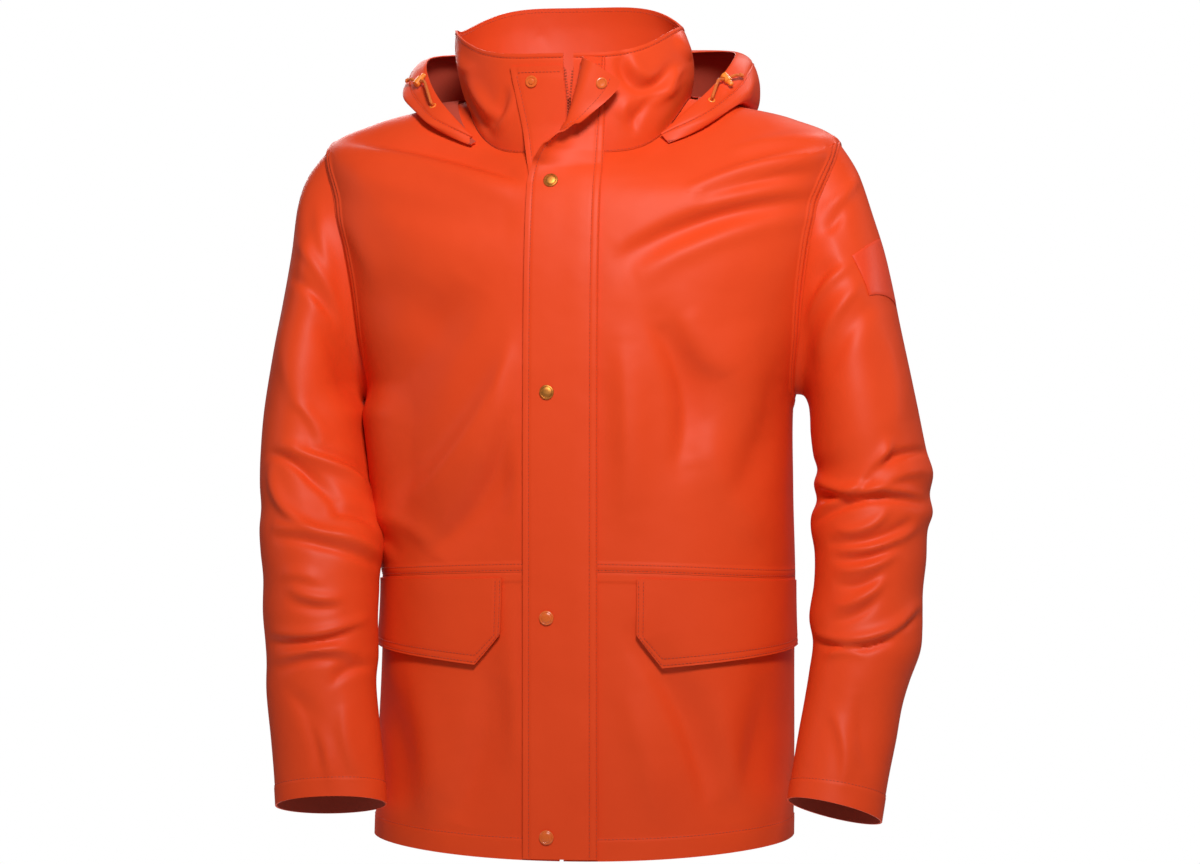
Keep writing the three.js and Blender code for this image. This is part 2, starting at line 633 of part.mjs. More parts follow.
// Pocket flaps: hung from the waist seam, with a cut corner towards the front.
const POCKET_END = 0.96;
const POCKET_COLUMNS = [...FRONT_COLUMNS.slice(3, -1), POCKET_END];

function bodyRow(turn, up) {
  let [low, high] = [-0.5, NECK_ROW];
  for (let i = 0; i < 30; i += 1) {
    const middle = (low + high) / 2;
    if (plainBody(turn, middle).z < up) low = middle;
    else high = middle;
  }
  return low;
}

const POCKET_SLOPE = 8;
const POCKET_LIFT = 2.5;
for (const flap of POCKET_FLAPS) {
  const [start, cut] = POCKET_COLUMNS;
  const at = (column, down, off) => {
    const past = (column - cut) / (POCKET_END - cut);
    const low = past < 0 ? mix(flap.straight, flap.low, (column - start) / (cut - start))
      : mix(flap.low, flap.outerLow, past);
    const turn = flap.side * mix(degrees(1.5), Math.PI / 2, column);
    const up = mix(flap.top - POCKET_SLOPE * column, low, down);
    const lift = 2 * SEAM_GAP + CLOTH + POCKET_LIFT * down ** 2;
    return bodyPoint(turn, bodyRow(turn, up), lift + off);
  };
  add(flap.name, gridWall(POCKET_COLUMNS, steps(0, 1, 3), at, CLOTH), ORANGE);
}

// Bare patch on the outer side of the wearer's left upper sleeve.
const PATCH = { rowTop: 2.25, rowFoot: 3.35, turnFront: 134, turnBack: 176, thick: 0.6 };
add('sleeve_patch', gridWall(
  steps(degrees(PATCH.turnFront), degrees(PATCH.turnBack), 4),
  steps(PATCH.rowTop, PATCH.rowFoot, 4),
  (turn, row, off) => sleevePoint(LEFT_SLEEVE, LEFT_SLEEVE_FOLDS, 1, row,
    turn * SLEEVE_STEPS / (2 * Math.PI), 0.5 + PATCH.thick + off),
  PATCH.thick,
), ORANGE);

// Snaps: a domed cap pressed through the cloth. The lathe turns about +Y, which then follows the cloth.
function seated(name, geometry, place, normal, finish) {
  const mesh = add(name, geometry, finish);
  mesh.position.copy(place);
  mesh.quaternion.setFromUnitVectors(vec(0, 1, 0), normal);
  return mesh;
}

function capGeometry(radius, height, hollow) {
  const profile = [
    [0, 0], [radius * 0.96, 0], [radius, height * 0.3], [radius * 0.93, height * 0.72],
    [radius * 0.7, height], [radius * 0.58, height * 0.9], [0, height * hollow],
  ].map(([r, y]) => new THREE.Vector2(r, y));
  return closed(new THREE.LatheGeometry(profile, 14));
}

function closed(geometry) {
  geometry.deleteAttribute('normal');
  geometry.deleteAttribute('uv');
  return mergeVertices(geometry, 1e-3);
}

function facing(face, x, up) {
  const p = stripPoint(face, x, up, 0);
  return stripPoint(face, x, up, 1).sub(p).normalize();
}

SNAP_HEIGHTS.forEach((up, i) => {
  const outward = normalOf(flapShape, SNAP_ACROSS, up, 0.05).negate();
  const place = flapShape(SNAP_ACROSS, up).addScaledVector(outward, SEAM_GAP);
  const finish = i < 2 ? PAINTED : BRASS;
  seated(`flap_snap_${i + 1}`, capGeometry(SNAP_RADIUS, SNAP_HEIGHT, 1), place, outward, finish);
});
seated('collar_stud', capGeometry(STUD_RADIUS, SNAP_HEIGHT, 0.6),
  stripPoint(bridged, STUD_X, STUD_HEIGHT, PLACKET_OFF + SEAM_GAP),
  facing(bridged, STUD_X, STUD_HEIGHT), PAINTED);

const SOCKET_ACROSS = 3.45;
const SOCKET_ROW = 759;
const socketNormal = normalOf(flapShape, SOCKET_ACROSS, SOCKET_ROW, 0.05);
seated('collar_socket', capGeometry(STUD_RADIUS - 0.5, SNAP_HEIGHT - 0.6, 0.4),
  flapShape(SOCKET_ACROSS, SOCKET_ROW).addScaledVector(socketNormal, STRIP_CLOTH + SEAM_GAP),
  socketNormal, PAINTED);

// Hood cords: each leaves an eyelet in the casing, passes through a cord lock and ends in a knot.
const wasm = await Module();
wasm.setup();

function solidOf(geometry) {
  return new wasm.Manifold(new wasm.Mesh({
    numProp: 3,
    vertProperties: new Float32Array(geometry.attributes.position.array),
    triVerts: new Uint32Array(geometry.index.array),
  }));
}

function geometryOf(solid) {
  const { vertProperties, triVerts } = solid.getMesh();
  const geometry = new THREE.BufferGeometry();
  geometry.setAttribute('position', new THREE.Float32BufferAttribute(vertProperties, 3));
  geometry.setIndex([...triVerts]);
  return geometry;
}

const lockProfile = [
  [0, 0], [LOCK_RADIUS * 0.8, 0], [LOCK_RADIUS, 1], [LOCK_RADIUS, LOCK_LENGTH * 0.62],
  [LOCK_RADIUS * 0.72, LOCK_LENGTH * 0.68], [LOCK_RADIUS * 0.72, LOCK_LENGTH * 0.76],
  [LOCK_RADIUS * 0.95, LOCK_LENGTH * 0.8], [LOCK_RADIUS * 0.95, LOCK_LENGTH * 0.96],
  [LOCK_RADIUS * 0.6, LOCK_LENGTH], [0, LOCK_LENGTH],
].map(([r, y]) => new THREE.Vector2(r, y));
const eyeletProfile = [
  [EYELET_HOLE, 0], [EYELET_RADIUS, 0], [EYELET_RADIUS, 0.5], [EYELET_RADIUS - 0.7, 1.2],
  [EYELET_HOLE, 1], [EYELET_HOLE, 0],
].map(([r, y]) => new THREE.Vector2(r, y));

const HOOD_CORDS = table(
  ['hand', 'side', 'eyeletPlace', 'eyeletAcross', 'lockPlace', 'lockAcross', 'tilt'],
  ['right', -1, 7.45, 0.55, 6.15, 0.5, 30],
  ['left', 1, 7.3, 0.6, 6.35, 0.4, -30],
);

for (const cord of HOOD_CORDS) {
  const onCasing = (place, across, off) => hoodPoint(across, cord.side * place, off);
  const outAt = (place, across) => onCasing(place, across, 1).sub(onCasing(place, across, 0)).normalize();
  const eyelet = onCasing(cord.eyeletPlace, cord.eyeletAcross, SEAM_GAP);
  const eyeletOut = outAt(cord.eyeletPlace, cord.eyeletAcross);
  const ring = closed(new THREE.LatheGeometry(eyeletProfile, 12));
  seated(`eyelet_${cord.hand}`, ring, eyelet, eyeletOut, PLASTIC);

  const lockOut = outAt(cord.lockPlace, cord.lockAcross);
  const middle = onCasing(cord.lockPlace, cord.lockAcross, LOCK_RADIUS + 1.4);
  const along = eyelet.clone().sub(middle).projectOnPlane(lockOut).normalize();
  const barrel = lockOut.clone().cross(along).normalize()
    .applyAxisAngle(lockOut, degrees(cord.tilt));
  const foot = middle.clone().addScaledVector(barrel, -LOCK_LENGTH * 0.32);
  const turned = new THREE.Matrix4().compose(foot,
    new THREE.Quaternion().setFromUnitVectors(vec(0, 1, 0), barrel), vec(1, 1, 1));
  const body = closed(new THREE.LatheGeometry(lockProfile, 14)).applyMatrix4(turned);
  const bore = CORD_RADIUS + 0.5;
  const hole = closed(new THREE.CylinderGeometry(bore, bore, 4 * LOCK_RADIUS, 10));
  const through = along.clone().projectOnPlane(barrel).normalize();
  hole.applyMatrix4(new THREE.Matrix4().compose(middle,
    new THREE.Quaternion().setFromUnitVectors(vec(0, 1, 0), through), vec(1, 1, 1)));
  add(`cord_lock_${cord.hand}`, geometryOf(solidOf(body).subtract(solidOf(hole))), PLASTIC);

  const exit = eyelet.clone().addScaledVector(eyeletOut, 1.6);
  const route = new THREE.CatmullRomCurve3([
    exit,
    exit.clone().addScaledVector(eyeletOut, 4),
    middle.clone().addScaledVector(through, LOCK_RADIUS + 5).addScaledVector(lockOut, 1.5),
    middle.clone().addScaledVector(through, LOCK_RADIUS + 0.5),
    middle.clone().addScaledVector(through, -LOCK_RADIUS - 0.5),
    middle.clone().addScaledVector(through, -LOCK_RADIUS - 6).addScaledVector(lockOut, 1),
    middle.clone().addScaledVector(through, -LOCK_RADIUS - 12).addScaledVector(lockOut, -0.5),
  ], false, 'centripetal');
  const round = new THREE.Shape(Array.from({ length: 8 }, (_, i) => new THREE.Vector2(
    CORD_RADIUS * Math.cos(i * Math.PI / 4), CORD_RADIUS * Math.sin(i * Math.PI / 4))));
  const tube = new THREE.ExtrudeGeometry(round, { steps: 14, extrudePath: route });
  add(`hood_cord_${cord.hand}`, closed(tube), PLASTIC);
  const end = route.getPoint(1);
  const knot = closed(new THREE.SphereGeometry(3, 10, 8));
  const leaving = route.getTangent(1).normalize();
  add(`cord_knot_${cord.hand}`, knot, PLASTIC).position.copy(end).addScaledVector(leaving, 3.2);
}

export default group;
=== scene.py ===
import math

import bpy
import numpy as np
from mathutils import Matrix, Vector


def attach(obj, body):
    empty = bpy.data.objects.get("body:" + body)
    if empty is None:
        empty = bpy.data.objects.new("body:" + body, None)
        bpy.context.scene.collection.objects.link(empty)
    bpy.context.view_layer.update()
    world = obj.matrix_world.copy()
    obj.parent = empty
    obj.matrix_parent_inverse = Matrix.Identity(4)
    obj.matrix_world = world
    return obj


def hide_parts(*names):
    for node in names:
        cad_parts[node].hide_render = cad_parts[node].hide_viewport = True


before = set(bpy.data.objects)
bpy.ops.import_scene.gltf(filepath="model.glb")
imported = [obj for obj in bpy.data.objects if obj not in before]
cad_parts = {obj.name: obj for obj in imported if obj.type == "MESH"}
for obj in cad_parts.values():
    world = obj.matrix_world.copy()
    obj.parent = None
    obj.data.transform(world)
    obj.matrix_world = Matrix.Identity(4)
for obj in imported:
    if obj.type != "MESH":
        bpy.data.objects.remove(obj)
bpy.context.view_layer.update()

# Studio: the camera stands 3.2 m off, 8 degrees round to the wearer's left and level with the
# middle of the jacket. Pale card all round fills the shade, a soft lamp by the camera lights the
# fronts, and one lamp on either side and one over the shoulders pick out the edges.
HELD_HEIGHT = 740
PHOTO_TURN = math.radians(8)
EYE_HEIGHT = 411
CAMERA_AWAY = 3200
CAMERA_SHIFT = 17.6


def placed(points):
    """Points in millimetres above the front hem, turned to metres in the frame of the part."""
    return (np.asarray(points, float) - [0, 0, HELD_HEIGHT]) * 0.001


sideways = Vector((math.cos(PHOTO_TURN), math.sin(PHOTO_TURN), 0))
to_camera = Vector((math.sin(PHOTO_TURN), -math.cos(PHOTO_TURN), 0))
aim = Vector(placed([0, 0, EYE_HEIGHT])) + sideways * CAMERA_SHIFT * 0.001
camera = bpy.data.objects.new("camera", bpy.data.cameras.new("camera"))
camera.data.lens = 96
camera.data.sensor_width = 36
camera.data.clip_end = 60
camera.location = aim + to_camera * CAMERA_AWAY * 0.001
camera.rotation_euler = (-to_camera).to_track_quat("-Z", "Y").to_euler()
bpy.context.scene.collection.objects.link(camera)
bpy.context.scene.camera = camera


def linear(hex_colour):
    """An sRGB hex colour such as "#dd4a2b" as a linear colour with alpha 1."""
    parts = [int(hex_colour[i:i + 2], 16) / 255 for i in (1, 3, 5)]
    return (*(p / 12.92 if p <= 0.04045 else ((p + 0.055) / 1.055) ** 2.4 for p in parts), 1.0)


def add_lamp(name, across, away, height, size, power, colour="#ffffff"):
    """A square lamp turned to the chest. across and away are seen from the camera, in metres."""
    lamp = bpy.data.objects.new(name, bpy.data.lights.new(name, "AREA"))
    lamp.data.size = size
    lamp.data.energy = power
    lamp.data.color = linear(colour)[:3]
    lamp.location = sideways * across + to_camera * away + Vector((0, 0, height))
    lamp.rotation_euler = (Vector((0, 0, -0.3)) - lamp.location).to_track_quat("-Z", "Y").to_euler()
    bpy.context.scene.collection.objects.link(lamp)


add_lamp("key_lamp", 0.2, 1.6, 0.85, 0.4, 33)
add_lamp("left_lamp", -2.2, 0.3, 0.3, 0.6, 3)
add_lamp("right_lamp", 2.3, -0.1, 0.5, 0.6, 4)
add_lamp("shoulder_lamp", 0.9, -1.1, 1.3, 0.3, 10)
add_lamp("back_lamp", -0.9, -2.6, 1.1, 1.4, 44)
bpy.context.scene.view_settings.view_transform = "Standard"

world = bpy.data.worlds.new("white_card")
bpy.context.scene.world = world
world.use_nodes = True
card = world.node_tree.nodes["Background"]
card.inputs["Color"].default_value = linear("#ffffff")
card_path = world.node_tree.nodes.new("ShaderNodeLightPath")
card_light = world.node_tree.nodes.new("ShaderNodeMapRange")
card_light.inputs["To Min"].default_value = 0.14
card_light.inputs["To Max"].default_value = 1.0
world.node_tree.links.new(card_path.outputs["Is Camera Ray"], card_light.inputs["Value"])
world.node_tree.links.new(card_light.outputs["Result"], card.inputs["Strength"])


def add_node(material, kind, settings=None, **inputs):
    """Adds a node. settings are its own properties, and an input is a value or another output."""
    tree = material.node_tree
    node = tree.nodes.new(kind)
    for name, value in (settings or {}).items():
        setattr(node, name, value)
    for name, value in inputs.items():
        socket = node.inputs[int(name[1:])] if name[1:].isdigit() else node.inputs[name.replace("_", " ")]
        if isinstance(value, bpy.types.NodeSocket):
            tree.links.new(value, socket)
        else:
            socket.default_value = value
    return node


def new_material(name):
    material = bpy.data.materials.new(name)
    material.use_nodes = True
    return material, material.node_tree.nodes["Principled BSDF"]


FLOOR_HEIGHT = -1.55
floor_paint, floor_shader = new_material("pale_floor_paint")
floor_shader.inputs["Base Color"].default_value = linear("#f1f0ee")
floor_shader.inputs["Roughness"].default_value = 0.9
bpy.ops.object.select_all(action="DESELECT")
bpy.ops.mesh.primitive_plane_add(size=7, location=(0, 0, FLOOR_HEIGHT))
floor = bpy.context.object
floor.name = "studio_floor"
floor.data.materials.append(floor_paint)

# Fronts: two upper panels from the waist seam to the shoulder and two lower ones, cut from a
# stretchy knit with a polyurethane coat on its outer face, and welded and topstitched together.
# The tables are in millimetres above the front hem, +X to the wearer's left, as in the part.
CLOTH = 1.2
FRONT_EDGE = 2
WAIST_ROW, ARMPIT_ROW, SHOULDER_ROW, NECK_ROW = 3, 5, 9, 12
ARMHOLE_TURN = math.radians(13.5)
SEAM_GAP = 0.3


def table(names, *rows):
    """A table as a dictionary of its named columns."""
    return {name: np.array([row[i] for row in rows], float) for i, name in enumerate(names.split())}


RING_COLUMNS = "frontZ sideZ backZ half front back square lean rise"
BODY = table(
    RING_COLUMNS,
    [0, 12, 2, 209, 138, 120, 2.5, 2, 2],
    [95, 100, 95, 208, 138, 118, 2.5, 4, 2],
    [190, 188, 190, 206, 138, 116, 2.5, 6, 2],
    [277, 268, 275, 206, 138, 115, 2.45, 7, 2],
    [360, 357, 360, 206, 138, 118, 2.4, 5, 2],
    [447, 447, 447, 212, 137, 124, 2.35, 0, 2],
    [512, 515, 515, 228, 135, 130, 2.3, 0, 2],
    [567, 580, 580, 243, 131, 132, 2.3, 0, 2.2],
    [608, 642, 640, 254, 125, 129, 2.25, 0, 2.6],
    [636, 697, 690, 257, 118, 120, 2.2, 0, 3.2],
    [655, 721, 722, 212, 110, 107, 2.15, 0, 4],
    [670, 734, 742, 161, 101, 90, 2.1, -2, 4.5],
    [683, 743, 753, 112, 92, 72, 2, -3, 5],
)


def mix(a, b, share):
    return a + (b - a) * share


def smooth(value, low, high):
    """0 below low, 1 above high and an even rise between."""
    share = np.clip((value - low) / (high - low), 0, 1)
    return share * share * (3 - 2 * share)


def between(values, at):
    """The smooth value of a column at row numbers that may lie between its rows."""
    last = len(values) - 1
    at = np.asarray(at, float)
    i = np.clip(np.floor(at).astype(int), 0, last - 1)
    f = at - i
    a, b, c, d = (values[np.clip(i + k, 0, last)] for k in (-1, 0, 1, 2))
    return b + 0.5 * f * (c - a + f * (2 * a - 5 * b + 4 * c - d + f * (3 * (b - c) + d - a)))


def ring_point(rows, turn, at):
    """A point of a ring, at a turn from the centre front towards the wearer's left."""
    value = {name: between(column, at) for name, column in rows.items()}
    s, c = np.sin(turn), np.cos(turn)
    depth = np.where(c > 0, value["front"], value["back"])
    square = value["square"]
    reach = (abs(s / value["half"]) ** square + abs(c / depth) ** square) ** (-1 / square)
    middle = np.where(c > 0, value["frontZ"], value["backZ"])
    z = mix(middle, value["sideZ"], abs(reach * s / value["half"]) ** value["rise"])
    return np.stack([value["lean"] + reach * s, -reach * c, z], -1)


def unit(v):
    return v / np.maximum(np.linalg.norm(v, axis=-1, keepdims=True), 1e-9)


def normal_of(surface, u, v, step=0.01):
    across = surface(u + step, v) - surface(u - step, v)
    along = surface(u, v + step) - surface(u, v - step)
    return unit(np.cross(across, along))


def plain_body(turn, row):
    return ring_point(BODY, turn, row)


def body_normal(turn, row):
    return normal_of(plain_body, turn, row)


# The folds. Each is a line across the cloth with a bow to one side, in millimetres as the
# picture shows it, and a height: a crest where it is above 0 and a hollow where it is below.
# wide is its half width on the soft side, and steep the share of that on its steep side.
FOLD_COLUMNS = "across1 up1 across2 up2 bow wide steep out"
FRONT_FOLDS = table(
    FOLD_COLUMNS,
    [244, 690, 112, 657, -4, 9, 0.5, 6],
    [232, 668, 120, 650, -6, 10, 0.8, -5],
    [248, 706, 150, 694, -4, 8, 0.6, 3.5],
    [226, 640, 40, 586, -12, 22, 0.45, -10],
    [228, 628, 62, 572, -10, 12, 0.9, 6.5],
    [-236, 704, -58, 664, 6, 12, 0.45, -7.5],
    [-232, 690, -70, 650, 6, 14, 0.8, 4.5],
    [-226, 660, -60, 622, -8, 26, 0.8, -4],
    [-250, 640, -210, 560, 6, 14, 0.7, 4],
    [-215, 560, -120, 500, 8, 30, 0.8, -4],
    [-62, 500, -176, 330, 12, 34, 0.45, 12],
    [-70, 420, -150, 290, 14, 24, 0.5, -9],
    [-112, 560, -196, 430, -8, 30, 0.8, -8],
    [-66, 400, -60, 300, 6, 18, 0.7, 4],
    [-215, 322, -182, 288, 4, 8, 0.5, -4],
    [-205, 330, -150, 292, 8, 12, 0.6, 3],
    [76, 520, 100, 380, 16, 26, 0.5, -11],
    [104, 530, 150, 470, -12, 22, 0.6, 5],
    [40, 500, 46, 330, 4, 22, 0.8, 7],
    [160, 520, 180, 400, -8, 30, 0.8, 5],
    [196, 470, 150, 340, 8, 22, 0.7, -5],
    [120, 420, 190, 300, -8, 26, 0.8, 4.5],
    [56, 200, 128, 40, 12, 24, 0.5, -10],
    [46, 150, 74, 30, 4, 20, 0.8, 5],
    [188, 176, 150, 20, 8, 22, 0.7, -6],
    [140, 150, 168, 30, -5, 18, 0.8, 4],
    [-92, 170, -130, 20, 10, 26, 0.6, -8],
    [-66, 230, -48, 60, -4, 20, 0.7, 5],
    [-170, 170, -150, 30, 6, 20, 0.8, 4.5],
    [-196, 150, -176, 20, 4, 16, 0.8, -5],
)
BACK_FOLDS = table(
    FOLD_COLUMNS,
    [150, 640, 40, 470, 10, 34, 0.6, -6],
    [-150, 630, -45, 450, -12, 34, 0.6, -6],
    [60, 420, 110, 120, 8, 34, 0.7, 6],
    [-70, 380, -120, 90, -8, 34, 0.7, 6],
    [0, 300, 10, 60, 6, 30, 0.8, -5],
    [185, 420, 110, 330, -8, 22, 0.5, 5],
    [-185, 410, -105, 325, 8, 22, 0.5, 5],
    [190, 385, 120, 300, -6, 12, 0.5, -2.5],
    [-190, 376, -120, 298, 6, 12, 0.5, -2.5],
    [205, 620, 110, 560, 8, 14, 0.5, 3],
    [-205, 612, -110, 556, -8, 14, 0.5, 3],
)


SIDE_FULLNESS = 12


def touching(up):
    """Where the wearer's right sleeve and the side of the body swell until they meet."""
    return smooth(up, 262, 322) * (1 - smooth(up, 425, 462))


def seen(points):
    """Where points lie in the picture: millimetres to the right of the axis, and up."""
    x, y, z = np.moveaxis(points, -1, 0)
    near = CAMERA_AWAY / (CAMERA_AWAY + y * math.cos(PHOTO_TURN) - x * math.sin(PHOTO_TURN))
    across = near * (x * math.cos(PHOTO_TURN) + y * math.sin(PHOTO_TURN))
    return across, EYE_HEIGHT + near * (z - EYE_HEIGHT)


FINEST_CREASE = 5.4


def fold_height(folds, across, up):
    """How far the folds push the cloth out at places of the picture."""
    out = np.zeros(np.broadcast(across, up).shape)
    for a1, u1, a2, u2, bow, wide, steep, height in zip(*(folds[n] for n in FOLD_COLUMNS.split())):
        wide = max(wide, FINEST_CREASE)
        steep = max(steep, FINEST_CREASE / wide)
        length = math.hypot(a2 - a1, u2 - u1)
        along, away = (a2 - a1) / length, (u2 - u1) / length
        t = ((across - a1) * along + (up - u1) * away) / length
        share = np.clip(t, 0, 1)
        beside = (up - u1) * along - (across - a1) * away - bow * 4 * share * (1 - share)
        width = np.where(beside > 0, wide, wide * steep)
        past = np.maximum(np.maximum(-t, t - 1), 0) * length / wide
        taper = 0.25 + 0.75 * np.sin(math.pi * share) ** 0.8
        out += height * taper * np.exp(-(beside / width) ** 2 - 2 * past ** 2)
    return out


def folded(points, normals, front_folds, back_folds):
    """The height of the folds on either face, fading where the cloth turns to the side."""
    across, up = seen(points)
    facing = normals @ np.array([*to_camera])
    out = fold_height(front_folds, across, up) * smooth(facing, 0.02, 0.45)
    x, z = points[..., 0], points[..., 2]
    return out + fold_height(back_folds, x, z) * smooth(normals[..., 1], 0.02, 0.45)


def body_point(turn, row, off=0.0):
    """A point of the body's outer face, or that far outside it."""
    p = plain_body(turn, row)
    n = body_normal(turn, row)
    x = abs(p[..., 0])
    quiet = smooth(x, 30, 62) * smooth(abs(p[..., 1]), 0, 40)
    filled = SIDE_FULLNESS * touching(p[..., 2]) * smooth(-p[..., 0], 150, 195)
    return p + n * (folded(p, n, FRONT_FOLDS, BACK_FOLDS) * quiet + filled + off)[..., None]


def armhole_turn(row):
    share = np.clip((row - ARMPIT_ROW) / (SHOULDER_ROW - ARMPIT_ROW), 0, 1)
    return ARMHOLE_TURN * np.sqrt(np.sin(math.pi * share).clip(0))


def side_turn(row):
    return math.pi / 2 - armhole_turn(row) - SEAM_GAP / 2 / between(BODY["half"], row)


def front_edge_turn(side, row):
    edge = FRONT_EDGE - side * between(BODY["lean"], row)
    return np.arctan(edge / between(BODY["front"], row))


def rows_between(start, end, count):
    return np.linspace(start, end, count + 1)


def armhole_rows(count):
    """Rows from the armpit to the shoulder, closer together where the armhole turns."""
    share = (1 - np.cos(np.linspace(0, math.pi, count + 1))) / 2
    return mix(ARMPIT_ROW, SHOULDER_ROW, share)


def near_edge(distance, middle, wide):
    return np.exp(-((distance - middle) / wide) ** 2)


def sheet_grid(columns, rows):
    return np.meshgrid(columns, rows)


def shell(name, outer, inner, ring=False):
    """A thin closed piece of cloth from grids of points of its two faces, in millimetres."""
    rows, columns = outer.shape[:2]
    points = placed(np.concatenate([outer.reshape(-1, 3), inner.reshape(-1, 3)]))
    at = np.arange(2 * rows * columns).reshape(2, rows, columns)
    if ring:
        at = np.concatenate([at, at[:, :, :1]], 2)

    def quads(a, b):
        return np.stack([a[:-1], a[1:], b[1:], b[:-1]], -1).reshape(-1, 4)

    face = np.stack([at[0, :-1, :-1], at[0, :-1, 1:], at[0, 1:, 1:], at[0, 1:, :-1]], -1).reshape(-1, 4)
    behind = np.stack([at[1, :-1, :-1], at[1, 1:, :-1], at[1, 1:, 1:], at[1, :-1, 1:]], -1).reshape(-1, 4)
    edges = [quads(at[0, 0][::-1], at[1, 0][::-1]), quads(at[0, -1], at[1, -1])]
    if not ring:
        edges += [quads(at[0, :, 0], at[1, :, 0]), quads(at[0, :, -1][::-1], at[1, :, -1][::-1])]
    faces = np.concatenate([face, behind, *edges])
    corner = points[faces]
    volume = np.einsum("ij,ij->", corner[:, 0], np.cross(corner[:, 1], corner[:, 2]))
    volume += np.einsum("ij,ij->", corner[:, 0], np.cross(corner[:, 2], corner[:, 3]))
    if volume < 0:
        faces = faces[:, ::-1]
    mesh = bpy.data.meshes.new(name)
    mesh.from_pydata(points.tolist(), [], faces.tolist())
    mesh.materials.append(coated_cloth)
    mesh.materials.append(knit_backing)
    inside = np.zeros(len(faces), np.int32)
    inside[len(face):len(face) + len(behind)] = 1
    mesh.polygons.foreach_set("material_index", inside)
    mesh.update()
    piece = bpy.data.objects.new(name, mesh)
    bpy.context.scene.collection.objects.link(piece)
    soften(piece)
    return piece


def soften(piece, angle=50):
    bpy.ops.object.select_all(action="DESELECT")
    piece.select_set(True)
    bpy.context.view_layer.objects.active = piece
    bpy.ops.object.shade_smooth_by_angle(angle=math.radians(angle))


def sew_in(piece, node, threads=()):
    """Lets a sheet stand for its solid: hangs it from the root and hides the solid."""
    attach(piece, "root")
    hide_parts(node)


STITCH_PITCH = 3.6
STITCH_END, STITCH_BODY, STITCH_HALF, STITCH_UP, STITCH_DOWN = 1.3, 0.85, 0.32, 0.38, 0.2


def along_line(line, run, at):
    return np.stack([np.interp(at, run, line[:, k]) for k in range(3)], -1)


def topstitch(name, lines):
    """Rows of lockstitch on lines, each given as its points on the cloth and those 1 mm above."""
    round_thread = [[0, -STITCH_HALF, 0], [0, 0, STITCH_UP], [0, STITCH_HALF, 0], [0, 0, -STITCH_DOWN]]
    ends = [[-STITCH_END, 0, 0], [STITCH_END, 0, 0]]
    form = np.array(ends + [[x * STITCH_BODY, y, z] for x in (-1, 1) for _, y, z in round_thread])
    shapes = []
    for k in range(4):
        a, b = 2 + k, 2 + (k + 1) % 4
        shapes += [[0, a, b], [a, a + 4, b + 4, b], [1, b + 4, a + 4]]
    points = []
    for on, above in lines:
        run = np.concatenate([[0], np.cumsum(np.linalg.norm(np.diff(on, axis=0), axis=1))])
        at = np.arange(STITCH_PITCH / 2, run[-1], STITCH_PITCH)
        middle = along_line(on, run, at)
        out = unit(along_line(above, run, at) - middle)
        ahead = unit(along_line(np.gradient(on, axis=0), run, at))
        axes = np.stack([ahead, np.cross(out, ahead), out], 1)
        points.append((middle[:, None] + np.einsum("va,nac->nvc", form, axes)).reshape(-1, 3))
    points = placed(np.concatenate(points))
    faces = [[i + k for i in shape] for k in range(0, len(points), len(form)) for shape in shapes]
    mesh = bpy.data.meshes.new(name)
    mesh.from_pydata(points.tolist(), [], faces)
    mesh.materials.append(sewing_thread)
    thread = bpy.data.objects.new(name, mesh)
    bpy.context.scene.collection.objects.link(thread)
    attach(thread, "root")
    return thread


def lying_on(surface, *place, off=0.0):
    """The points of a line on a surface and those 1 mm above it."""
    place = np.broadcast_arrays(*(np.asarray(p, float) for p in place))
    return surface(*place, np.full(place[0].shape, off)), surface(*place, np.full(place[0].shape, off + 1))


# The seams are sewn with a spun polyester thread that is dyed to the cloth and has no shine.
sewing_thread, thread_shader = new_material("spun_polyester_thread")
TWIST = 0.9e-3
thread_at = add_node(sewing_thread, "ShaderNodeTexCoord").outputs["Object"]
twist = add_node(sewing_thread, "ShaderNodeTexNoise", Vector=thread_at, Scale=1 / TWIST, Detail=1.0)
thread_colour = add_node(sewing_thread, "ShaderNodeMix", {"data_type": "RGBA"}, _0=twist.outputs["Fac"],
                         _6=linear("#a53019"), _7=linear("#d8583a"))
sewing_thread.node_tree.links.new(thread_colour.outputs["Result"], thread_shader.inputs["Base Color"])
thread_shader.inputs["Roughness"].default_value = 0.7


# The coat is a thin skin of polyurethane, moulded against a fine matt paper as it is made.
# That gives a satin face with a fine grain, which breaks the light up a little.
coated_cloth, coat = new_material("polyurethane_coated_knit")
GRAIN = 1.6e-3
where = add_node(coated_cloth, "ShaderNodeTexCoord").outputs["Object"]
patches = add_node(coated_cloth, "ShaderNodeTexNoise", Vector=where, Scale=14.0, Detail=3.0)
grain = add_node(coated_cloth, "ShaderNodeTexNoise", Vector=where, Scale=1 / GRAIN, Detail=2.0)
ripple = add_node(coated_cloth, "ShaderNodeTexNoise", Vector=where, Scale=20.0, Detail=2.0, Roughness=0.4)
colour = add_node(coated_cloth, "ShaderNodeMix", {"data_type": "RGBA"}, _0=patches.outputs["Fac"],
                  _6=linear("#e3441a"), _7=linear("#eb4b1d"))
gloss = add_node(coated_cloth, "ShaderNodeMapRange", Value=patches.outputs["Fac"], To_Min=0.47, To_Max=0.55)
fine = add_node(coated_cloth, "ShaderNodeBump", Height=grain.outputs["Fac"], Strength=0.10, Distance=0.0004)
soft = add_node(coated_cloth, "ShaderNodeBump", Height=ripple.outputs["Fac"], Strength=0.3, Distance=0.006,
                Normal=fine.outputs["Normal"])
coated_cloth.node_tree.links.new(colour.outputs["Result"], coat.inputs["Base Color"])
coated_cloth.node_tree.links.new(gloss.outputs["Result"], coat.inputs["Roughness"])
coated_cloth.node_tree.links.new(soft.outputs["Normal"], coat.inputs["Normal"])
coat.inputs["IOR"].default_value = 1.42
coat.inputs["Specular IOR Level"].default_value = 0.27
